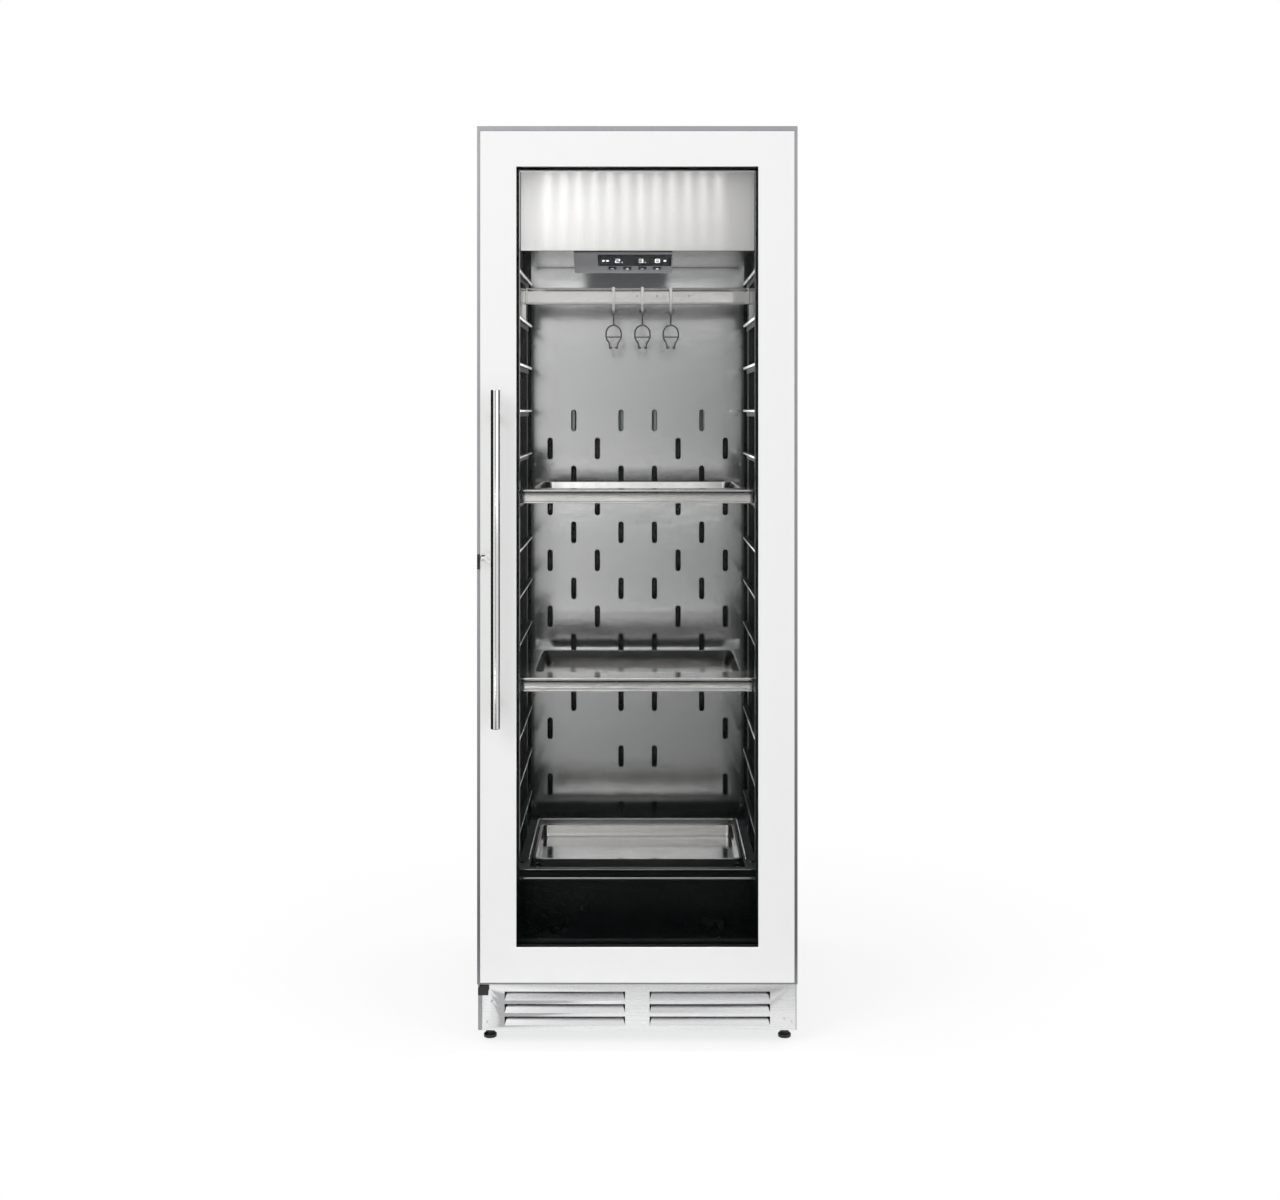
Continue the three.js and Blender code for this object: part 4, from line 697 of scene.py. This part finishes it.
def addDuct(d):
    low, high = span("back_duct_panel")
    s, f, columns = d["sheet"], d["fold"], d["columns"]
    width, height = d["slotHalf"]
    holes = []
    pitch = (high.x - d["edgeMargin"] - d["firstColumn"]) / (columns - 1)
    for row in range(d["rows"]):
        z = low.z + d["firstRow"] + row * d["rowPitch"]
        for column in range(columns):
            innerOnly = row < columns and column > 0 and row % 2 == 0
            outerOnly = row < columns + 2 and column < columns - 1 and row % 2 == 1
            if column % 2 == row % 2 and not innerOnly and not outerOnly:
                right = d["firstColumn"] + column * pitch
                holes += [roundedBox(x - width, x + width, z - height, z + height, width, 5)
                          for x in (right, -right)]
    r = d["fanHoleRadius"]
    holes.append(oval(0, high.z - d["fanDrop"], r, r, d["fanHoleSteps"]))
    bm = bmesh.new()
    plate(bm, roundedBox(low.x, high.x, low.z, high.z, f, 3), holes, low.y, low.y + s)
    for x in (low.x, high.x - s):
        addBlock(bm, x, x + s, low.y + f / 2, high.y, low.z, high.z)
    for z in (low.z, high.z - s):
        addBlock(bm, low.x, high.x, low.y + f / 2, high.y, z, z + s)
    standFor("back_duct_panel", "back_duct_sheet", bm, "stainlessColdRolled")
    places = [(side * d["screwX"], low.y, z) for z in d["screwRows"] for side in (-1, 1)]
    addScrews("back_duct_screws", places, -1, d["screwScale"])


addDuct(duct)

# Top module: its front is brushed, its underside left as rolled; a folded ledge meets the duct's sheet
module = {"edge": 1.5, "ledgeDepth": 5, "ledgeHeight": 4.5, "ledgeInset": 8, "ledgeGap": 0.5,
          "ledgeSeat": 0.3, "ledgeEdge": 1}
cover = dress("top_module_cover", "stainlessBrushedFine", module["edge"], 3)
coat(cover, "stainlessColdRolled", lambda face: face.normal.z < -0.7)


def addLedge(m):
    low, high = span("top_module_cover")
    rear = span("back_duct_panel")[0].y - m["ledgeGap"]
    bm = bmesh.new()
    addBlock(bm, low.x + m["ledgeInset"], high.x - m["ledgeInset"], rear - m["ledgeDepth"], rear,
             low.z - m["ledgeHeight"], low.z - m["ledgeSeat"], m["ledgeEdge"])
    addPiece("module_ledge", bm, "stainlessBright", "cabinet")


addLedge(module)

# The row of lamps above the module's front
lampRow = {"count": 12, "pitch": 31, "shift": -9, "radius": 3.4, "spread": 9, "power": 0.003, "proud": 2,
           "lensSink": 0.2, "lensArc": 6, "drop": 1, "aimBack": 25, "aimDown": 100, "bodyHeight": 6,
           "edge": 1, "stripLength": 460, "stripWidth": 8, "stripPower": 0.04}


def addLamps(l):
    low, high = span("lamp_strip")
    y = (low.y + high.y) / 2
    bottom = high.z - l["bodyHeight"]
    bm = bmesh.new()
    addBlock(bm, low.x, high.x, low.y, high.y, bottom, high.z, l["edge"])
    standFor("lamp_strip", "lamp_strip_body", bm, "absMouldedGloss")
    r, proud = l["radius"], l["proud"]
    dome = [(r, bottom + l["lensSink"])]
    dome += [(r * cos(a), bottom - proud * sin(a)) for a in quarter(l["lensArc"])[1:-1]]
    bm = bmesh.new()
    z = bottom - proud - l["drop"]
    aim = Vector((0, l["aimBack"], -l["aimDown"])) * mm
    for i in range(l["count"]):
        x = l["shift"] + (i - (l["count"] - 1) / 2) * l["pitch"]
        turn(bm, dome, (x, y, 0), "Z", 20)
        place = Vector((x, y, z)) * mm
        addLamp(f"diode_{i + 1}", place, place + aim, l["spread"] * mm, l["power"])
    addPiece("lamp_lenses", bm, "polycarbonateLit", "cabinet")
    addLamp("diode_glow", (0, y * mm, z * mm), (0, (y + l["aimBack"]) * mm, 1), l["stripLength"] * mm,
            l["stripPower"], l["stripWidth"] * mm)


addLamps(lampRow)
print("duct and lamps ready")

# Control pod: its face slopes down towards the back; u runs across it and s along the slope from the
# upper edge. The display's middle is given as (u, s), and each digit by its sign and its u from there;
# crossed lists the keys whose mark is a cross. The figures and marks are plain
pod = {"place": (-28.5, -145, 1499.2), "fall": 31.5, "run": 84, "edge": 1, "lensEdge": 0.3,
       "displayMiddle": (23, 31), "displayFace": -1.7, "relief": 0.15, "digitHeight": 15, "digitWidth": 8,
       "stroke": 1.8, "digits": (("2", -34), ("3", 12), ("8", 45.2)), "points": (-25, 21),
       "pointHalf": 1.1, "pointDrop": 7.5, "dashes": (-62, -54, 60), "dashHalf": (2.5, 3),
       "dashEdge": 0.05, "keys": 4, "keyEdge": 0.5, "keyPitch": 30, "keyDown": 68.5, "keyFace": -1.6,
       "keyRelief": 0.12, "markHalf": (3, 0.7), "crossed": (1, 3)}
tilt = Matrix.Rotation(-atan2(pod["fall"], pod["run"]), 4, "X")
slope = Matrix.Translation(Vector(pod["place"])) @ tilt
# Which bars of a figure are lit: top, upper left, upper right, middle, lower left, lower right, foot
figures = {"2": "1011101", "3": "1011011", "8": "1111111"}


def addFigure(bm, sign, u, s, p):
    w = p["digitWidth"] / 2
    h = p["digitHeight"] / 2
    t = p["stroke"] / 2
    face = p["displayFace"]
    bars = [(-w, w, -h - t, -h + t), (-w - t, -w + t, -h, 0), (w - t, w + t, -h, 0), (-w, w, -t, t),
            (-w - t, -w + t, 0, h), (w - t, w + t, 0, h), (-w, w, h - t, h + t)]
    for lit, (u0, u1, s0, s1) in zip(figures[sign], bars):
        if lit == "1":
            addBlock(bm, u + u0, u + u1, s + s0, s + s1, face - p["relief"], face)


# A flat mark, raised above the face it lies on
def addMark(bm, u, s, halfU, halfS, face, relief, edge=0):
    addBlock(bm, u - halfU, u + halfU, s - halfS, s + halfS, face - relief, face, edge)


def addPod(p):
    dress("control_pod", "absMouldedGrey", p["edge"], 3)
    dress("display_lens", "absMouldedGloss", p["lensEdge"])
    for i in range(p["keys"]):
        dress(f"control_key_{i + 1}", "absMouldedBlack", p["keyEdge"])
    u, s = p["displayMiddle"]
    face, relief, half = p["displayFace"], p["relief"], p["pointHalf"]
    bm = bmesh.new()
    for sign, shift in p["digits"]:
        addFigure(bm, sign, u + shift, s, p)
    for shift in p["points"]:
        addMark(bm, u + shift, s + p["pointDrop"], half, half, face, relief)
    for shift in p["dashes"]:
        addMark(bm, u + shift, s, *p["dashHalf"], face, relief, p["dashEdge"])
    bmesh.ops.transform(bm, matrix=slope, verts=bm.verts)
    addPiece("display_marks", bm, "inkLit", "cabinet")
    long, short = p["markHalf"]
    for i in range(p["keys"]):
        bm = bmesh.new()
        place = (u + (i - (p["keys"] - 1) / 2) * p["keyPitch"], p["keyDown"])
        addMark(bm, *place, long, short, p["keyFace"], p["keyRelief"])
        if i in p["crossed"]:
            addMark(bm, *place, short, long, p["keyFace"], p["keyRelief"])
        bmesh.ops.transform(bm, matrix=slope, verts=bm.verts)
        addPiece(f"key_mark_{i + 1}", bm, "inkLit", f"key_{i + 1}")


addPod(pod)
print("controls ready")

# Shelf rails: angles coloured dark as painted shade, each with a pale bead along its inner edge as a painted
# highlight; a clip on each side, also pale as a painted highlight, given by its outer and inner distance from
# the middle, front, rear, bottom, top and edge
rail = {"edge": 0.3, "count": 14, "first": 289, "pitch": 90.25, "inner": 225.5, "bead": 2.4,
        "front": -228.5, "rear": 139.5, "clip": (246, 234, 126, 130, 294, 307, 0.8)}


def addRails(r):
    bm = bmesh.new()
    bead = r["bead"]
    for x in (-r["inner"] - bead, r["inner"] + bead):
        for i in range(r["count"]):
            z = r["first"] + i * r["pitch"] - bead
            addWire(bm, [(x, r["front"], z), (x, r["rear"], z)], bead)
    # pale beads paint the highlight along each rail's edge
    addPiece("rail_beads", bm, "greyPaintedHighlight", "cabinet")
    bm = bmesh.new()
    addPair(bm, *r["clip"])
    addPiece("rail_clips", bm, "greyPaintedHighlight", "cabinet")


# the rail angles are coloured dark as painted shade
for side in ("left", "right"):
    dress(f"rail_ladder_{side}", "steelPaintedShade", rail["edge"])
addRails(rail)

# Shelves: a channel front, a flat rim with the pan let into it, and two side folds
shelf = {"sheet": 1.5, "channelDepth": 10, "frontRim": 74, "sideRim": 28, "rearRim": 6, "panDepth": 21,
         "panCorner": 22, "panCornerLeast": 2, "panSlope": 29, "panSag": 2, "round": 1.5, "roundSteps": 4,
         "fillet": 4, "filletSteps": 6, "floorRings": 10, "lip": 1.2, "lipBack": 0, "coveUpper": (7, 13),
         "coveLower": (2, 2), "hemUpper": 2.3, "hemLower": 1.8}


# A channel open to the front, its inner corners rounded into coves, lofted along X. Its lips can
# stand back from the beads that hem them
def channel(bm, x0, x1, y0, z0, z1, c):
    t, lip = c["sheet"], c["lip"]
    front = y0 + c["lipBack"]
    web = y0 + c["channelDepth"] - t
    top = z1 - t
    bottom = z0 + t
    rows = [(front + lip * 0.4, z0), (web + t, z0), (web + t, z1), (front + lip * 0.4, z1),
            (front, z1 - lip * 0.4), (front, top - lip), (front + lip, top - lip), (front + lip, top)]
    deep, tall = c["coveUpper"]
    rows += [(web - deep + deep * sin(a), top - tall + tall * cos(a)) for a in quarter(10)]
    deep, tall = c["coveLower"]
    rows += [(web - deep + deep * cos(a), bottom + tall - tall * sin(a)) for a in quarter(10)]
    rows += [(front + lip, bottom), (front + lip, bottom + lip), (front, bottom + lip),
             (front, z0 + lip * 0.4)]
    loft(bm, [[(x, y, z) for y, z in rows] for x in (x0, x1)])
    addHem(bm, x0, x1, y0 + c["hemUpper"], z1 - c["hemUpper"], c["hemUpper"])
    addHem(bm, x0, x1, y0 + c["hemLower"], z0 + c["hemLower"], c["hemLower"])


# Rings down the inside of a pan: rounded lip, sloping wall, fillet, and a floor that sags
def panRings(x0, x1, y0, y1, top, s):
    f, r = s["fillet"], s["round"]
    lean = radians(s["panSlope"])
    floor = top - s["panDepth"] + s["sheet"]
    middle = (top - r - floor - f + f * sin(lean)) * tan(lean) + f * cos(lean)
    steps = [(r * sin(a) - r, top - r + r * cos(a)) for a in quarter(s["roundSteps"])]
    for a in quarter(s["filletSteps"]):
        a = lean + a * (1 - lean / (pi / 2))
        steps.append((middle - f * cos(a), floor + f - f * sin(a)))
    rings = []
    for inset, z in steps:
        corner = max(s["panCorner"] - inset, s["panCornerLeast"])
        outline = roundedBox(x0 + inset, x1 - inset, y0 + inset, y1 - inset, corner)
        rings.append([(x, y, z) for x, y in outline])
    cx, cy = (x0 + x1) / 2, (y0 + y1) / 2
    edge = rings[-1]
    for i in range(1, s["floorRings"] + 1):
        k = 1 - i / (s["floorRings"] + 0.5)
        sag = s["panSag"] * (1 - k * k)
        rings.append([(cx + (x - cx) * k, cy + (y - cy) * k, z - sag) for x, y, z in edge])
    return rings


def addShelf(node, s):
    low, high = span(node)
    t, r = s["sheet"], s["round"]
    bm = bmesh.new()
    channel(bm, low.x, high.x, low.y, low.z, high.z, s)
    x0, x1 = low.x + s["sideRim"], high.x - s["sideRim"]
    y0, y1 = low.y + s["frontRim"], high.y - s["rearRim"]
    web = low.y + s["channelDepth"] - t
    inner = roundedBox(x0 - r, x1 + r, y0 - r, y1 + r, s["panCorner"] + r)
    for v in plate(bm, roundedBox(low.x, high.x, web, high.y, r, 3), [inner], 0, t):
        v.co = Vector((v.co.x, v.co.z, high.z - t + v.co.y))
    rings = panRings(x0, x1, y0, y1, high.z, s)
    loft(bm, rings, capStart=False)
    wall = rings[s["roundSteps"]:]
    loft(bm, [wall[0]] + [[(x, y, z - t) for x, y, z in ring] for ring in wall], capStart=False)
    for x in (low.x, high.x - t):
        addBlock(bm, x, x + t, web, high.y, low.z, high.z - t / 2)
    standFor(node, node + "_folded", bm, "stainlessBright", 30)


for node in ("shelf_upper", "shelf_middle"):
    addShelf(node, shelf)

# Bottom frame, with bright beads along its front and a bright tab on each side
frameTrim = {"edge": 0.4, "bead": 2, "tabOuter": 0.5, "tabInner": 14, "tabFront": 35, "tabRear": 53,
             "tabSink": 0.3, "tabProud": 0.6, "tabEdge": 0.2}


def addFrameTrim(f):
    dress("bottom_frame", "steelEnamelledBlack", f["edge"])
    low, high = span("bottom_frame")
    bead = f["bead"]
    bm = bmesh.new()
    for z in (low.z + bead, high.z - bead):
        addHem(bm, low.x, high.x, low.y + bead, z, bead)
    addPair(bm, high.x - f["tabOuter"], high.x - f["tabInner"], low.y + f["tabFront"], low.y + f["tabRear"],
            high.z - f["tabSink"], high.z + f["tabProud"], f["tabEdge"])
    addPiece("bottom_frame_hems", bm, "stainlessPolished", "bottom_frame")


addFrameTrim(frameTrim)

# Drip tray: pressed from one sheet, with round corners, sloping walls and a rolled lip; its front wall is
# coloured black enamel as painted shade under the bottom frame. A clip on each side of the frame holds its
# rear corners; the clip is given like a rail's
tray = {"sheet": 1.2, "lip": 5, "curl": 0.2, "corner": 16, "cornerLeast": 3, "cornerShare": 0.6, "taper": 1,
        "frontTaper": 3, "fillet": 3, "clip": (207.7, 200.5, 78, 96, 280, 313.5, 1.2)}


def addTray(d):
    low, high = span("drip_tray")
    t, lip, fillet = d["sheet"], d["lip"], d["fillet"]
    floor = low.z + t
    top = high.z - t

    # a ring round the tray; the front wall leans in further than the others, the lower it gets
    def ring(inset, z):
        lean = min(1, max(0, top - z) / (top - floor))
        front = low.y + inset + (d["frontTaper"] - d["taper"]) * lean
        corner = max(d["corner"] - inset * d["cornerShare"], d["cornerLeast"])
        outline = roundedBox(low.x + inset, high.x - inset, front, high.y - inset, corner)
        return [(x, y, z) for x, y in outline]

    inner = [(0, top), (0, high.z - t * 0.3), (t * 0.3, high.z), (lip, high.z), (lip + t, top)]
    inner += [(lip + d["taper"] + fillet * (1 - cos(a)), floor + fillet * (1 - sin(a))) for a in quarter(6)]
    outer = [(0, top), (lip - t, top - d["curl"])]
    for share in (0.1, 0.5, 0.9, 1):
        curve = fillet * (1 - cos(pi / 2 * share))
        outer.append((lip + d["taper"] * share + curve - t, low.z + (top - t - low.z) * (1 - share)))
    bm = bmesh.new()
    for steps in (inner, outer):
        loft(bm, [ring(inset, z) for inset, z in steps], capStart=False)
    bmesh.ops.remove_doubles(bm, verts=bm.verts, dist=0.01)
    made = standFor("drip_tray", "drip_tray_pressed", bm, "stainlessBright", 30)
    frontEnd = low.y + lip + d["frontTaper"]
    # the front wall takes black enamel as painted shade under the bottom frame
    coat(made, "steelEnamelledBlack", lambda face: face.normal.y < -0.5 and face.center.y / mm < frontEnd
         and face.center.z / mm < top - d["curl"])
    bm = bmesh.new()
    addPair(bm, *d["clip"])
    addPiece("tray_clips", bm, "absMouldedGloss", "bottom_frame")


addTray(tray)

# Wire guard round the tray: a U on four legs
guard = {"radius": 2.5, "bend": 16, "legInset": 16, "legShare": 0.95}


def addGuard(g):
    low, high = span("tray_guard")
    r = g["radius"]
    x, z = high.x - r, high.z - r
    front, rear = low.y + r, high.y - r
    bm = bmesh.new()
    addWire(bm, softRoute([(-x, front, low.z), (-x, front, z), (-x, rear, z), (x, rear, z), (x, front, z),
                           (x, front, low.z)], g["bend"]), r, 16)
    for legX in (g["legInset"] - x, x - g["legInset"]):
        addWire(bm, [(legX, rear, low.z), (legX, rear, z)], r * g["legShare"])
    standFor("tray_guard", "tray_guard_wire", bm, "stainlessPolished", 50)


addGuard(guard)
print("shelves ready")

# Hanging bar with its end brackets, saddles and hooks; a rivet is a profile of (radius, height) pairs
bar = {"sheet": 1.5, "channelDepth": 12, "height": 35, "lip": 0.8, "lipBack": 1.4, "coveUpper": (7, 7),
       "coveLower": (5, 4), "hemUpper": 2.4, "hemLower": 2.4, "legWidth": 12, "legEdge": 0.3,
       "rivet": [(1.5, 0.1), (1.2, -0.4), (0.05, -0.5)], "rivetPlaces": (-1, 40, 105), "rivetDrop": 16,
       "endOuter": 229, "endInner": 225.5, "endFront": 0.5, "endFoot": 1, "endDrop": 1.5, "endEdge": 0.5,
       "saddleEdge": 0.4}


def addBar(b):
    low, high = span("hanging_bar")
    foot = high.z - b["height"]
    web = high.y - b["sheet"]
    bm = bmesh.new()
    channel(bm, low.x, high.x, low.y, foot, high.z, b)
    addPair(bm, high.x, high.x - b["legWidth"], low.y, high.y, low.z, foot + b["sheet"] / 2, b["legEdge"])
    addPair(bm, b["endOuter"], b["endInner"], low.y + b["endFront"], web, foot + b["endFoot"],
            high.z - b["endDrop"], b["endEdge"])
    standFor("hanging_bar", "hanging_bar_folded", bm, "stainlessBright", 30)
    bm = bmesh.new()
    for x in b["rivetPlaces"]:
        turn(bm, b["rivet"], (x, web, high.z - b["rivetDrop"]), "Y", 12)
    # the rivets are dark, as painted shade
    addPiece("hanging_bar_rivets", bm, "steelPaintedShade", "cabinet")


addBar(bar)

# A wire hook: an eye on the saddle, a stem, and a bell of two bent wires with one across it. The bell is
# given as pairs of half width and rise above the stem's end
hook = {"wire": 1.6, "eyeHalf": 5.5, "eyeDrop": 13, "eyeBend": 5, "stem": 22,
        "bell": [(0, 1.6), (9, -1), (15.5, -10), (15.5, -27), (8, -35), (8, -48), (3, -43)], "bend": 7,
        "crossHalf": 15.5, "crossDrop": 23, "crossShare": 0.8}


def addHook(node, h):
    low, high = span(node)
    cx, cy = (low.x + high.x) / 2, (low.y + high.y) / 2
    w, e, half = h["wire"], h["eyeHalf"], h["crossHalf"]
    top = high.z - w
    start = top - h["eyeDrop"]
    end = start - h["stem"]
    bm = bmesh.new()
    eye = [(cx, cy, start), (cx - e, cy, start + e), (cx - e, cy, top), (cx + e, cy, top),
           (cx + e, cy, start + e), (cx, cy, start)]
    addWire(bm, softRoute(eye, h["eyeBend"]), w)
    addWire(bm, [(cx, cy, start + w), (cx, cy, end)], w)
    for side in (-1, 1):
        bell = [(cx + side * width, cy, end + rise) for width, rise in h["bell"]]
        addWire(bm, softRoute(bell, h["bend"]), w)
    crossZ = end - h["crossDrop"]
    addWire(bm, [(cx - half, cy, crossZ), (cx + half, cy, crossZ)], w * h["crossShare"])
    standFor(node, node + "_wire", bm, "steelWireChromed", 60)


for i in (1, 2, 3):
    dress(f"hook_saddle_{i}", "stainlessPolished", bar["saddleEdge"])
    addHook(f"meat_hook_{i}", hook)
print("hooks ready")

# Door: finish, edge radius, steps round the edge
door = {
    "door_trim": ("aluminiumAnodised", 0.5),
    "door_front_panel": ("steelLacqueredWhite", 1.1, 3),
    "door_core": ("absMouldedGloss", 0.5),
    "lock_plate": ("absMouldedBlack", 0.5),
    "lock_cam": ("steelGalvanised", 0.5),
    "glass_spacer": ("absMouldedBlack", 0.4),
}
dressAll(door)
for node in ("glass_outer", "glass_inner"):
    held = nodes[node].data.materials
    held.clear()
    held.append(finish["glassFloat"])

# Gasket: a soft hollow bellows, drawn as three ribs run round the door
gasket = {"width": 14, "ribs": 3, "ribSteps": 8, "ribDepth": 1.4, "corner": 10, "cornerLeast": 0.5}


def addGasket(g):
    low, high = span("door_gasket")
    width = g["width"]
    count = g["ribs"] * g["ribSteps"]
    steps = []
    for i in range(count + 1):
        u = i / count
        wave = 0.5 - 0.5 * cos(2 * pi * g["ribs"] * u)
        steps.append((width * u, high.y - g["ribDepth"] * (1 - wave)))
    steps += [(width, low.y), (0, low.y), steps[0]]
    rings = []
    for inset, y in steps:
        outline = roundedBox(low.x + inset, high.x - inset, low.z + inset, high.z - inset,
                             max(g["corner"] - inset, g["cornerLeast"]), 6)
        rings.append([(x, y, z) for x, z in outline])
    bm = bmesh.new()
    loft(bm, rings, capStart=False, capEnd=False)
    bmesh.ops.remove_doubles(bm, verts=bm.verts, dist=0.01)
    standFor("door_gasket", "door_gasket_bellows", bm, "pvcExtrudedBlack", 50)


addGasket(gasket)

# Handle: a polished round bar with slightly domed ends on two turned posts
handle = {"edge": 1.2, "dome": 0.36, "postWaist": 1, "postFlange": 2, "postEdge": 0.3, "tip": 0.05}


def addHandle(h):
    low, high = span("handle_bar")
    middle = (low + high) / 2
    r = high.x - middle.x
    e, tip, dome = h["edge"], h["tip"], h["dome"]
    length = high.z - low.z
    half = [(tip, 0), (r * 0.6, 0.1), (r - e, dome), (r - e * 0.3, dome + e * 0.4), (r, dome + e * 1.3)]
    profile = half + [(radius, length - height) for radius, height in reversed(half)]
    bm = bmesh.new()
    turn(bm, profile, (middle.x, middle.y, low.z), "Z", 64)
    standFor("handle_bar", "handle_bar_turned", bm, "stainlessPolished", 40)
    e = h["postEdge"]
    for node in ("handle_post_lower", "handle_post_upper"):
        low, high = span(node)
        middle = (low + high) / 2
        r = high.x - middle.x
        waist = r - h["postWaist"]
        flange = high.y - h["postFlange"]
        profile = [(tip, low.y), (waist, low.y), (waist, flange - e * 2), (r - e * 2, flange),
                   (r - e / 1.5, flange), (r, flange + e), (r, high.y - e), (r - e, high.y), (tip, high.y)]
        bm = bmesh.new()
        turn(bm, profile, (middle.x, 0, middle.z), "Y", 40)
        standFor(node, node + "_turned", bm, "stainlessPolished", 40)


addHandle(handle)

# Lock: barrel with a bevelled rim and a dark face, and a key with an oval bow and a round hole
lock = {"bore": 2.6, "rim": 0.8, "bowHalf": (6.5, 9.5), "holeRadius": 3.5, "holeShift": 1, "bowSteps": 48,
        "bowEdge": 0.5, "thickness": 2.5, "neckHalf": 3, "neckEnd": 7.5, "neckInset": 0.15,
        "neckEdge": 0.4, "shank": 2.2, "tip": 0.05}


def addLock(k):
    low, high = span("lock_barrel")
    middle = (low + high) / 2
    r, rim, bore = high.x - middle.x, k["rim"], k["bore"]
    profile = [(bore, high.y), (bore, low.y + rim), (bore + rim * 0.6, low.y), (r - rim, low.y),
               (r - rim * 0.3, low.y + rim * 0.3), (r, low.y + rim), (r, high.y), (bore, high.y)]
    bm = bmesh.new()
    turn(bm, profile, (middle.x, 0, middle.z), "Y", 40, caps=False)
    bmesh.ops.remove_doubles(bm, verts=bm.verts, dist=0.01)
    barrel = standFor("lock_barrel", "lock_barrel_turned", bm, "stainlessPolished", 30)
    coat(barrel, "absMouldedBlack", lambda face: face.normal.y < -0.9)

    low, high = span("lock_key")
    cx, z = middle.x, (low.z + high.z) / 2
    rear = low.y + k["thickness"]
    width, height = k["bowHalf"]
    bowX = high.x - width
    bow = oval(bowX, z, width, height, k["bowSteps"])
    hole = oval(bowX + k["holeShift"], z, k["holeRadius"], k["holeRadius"], k["bowSteps"])
    bm = bmesh.new()
    plate(bm, bow, [hole], low.y, rear)
    soften(bm, 60, k["bowEdge"], 3)
    neck, inset = k["neckHalf"], k["neckInset"]
    addBlock(bm, cx - neck, cx + k["neckEnd"], low.y + inset, rear - inset, z - neck, z + neck, k["neckEdge"])
    start = (low.y + rear) / 2
    shank = [(k["tip"], start), (k["shank"], start), (k["shank"], high.y), (k["tip"], high.y)]
    turn(bm, shank, (cx, 0, z), "Y", 24)
    standFor("lock_key", "lock_key_cut", bm, "stainlessBright", 35)


addLock(lock)
print("door ready")

low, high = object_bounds()
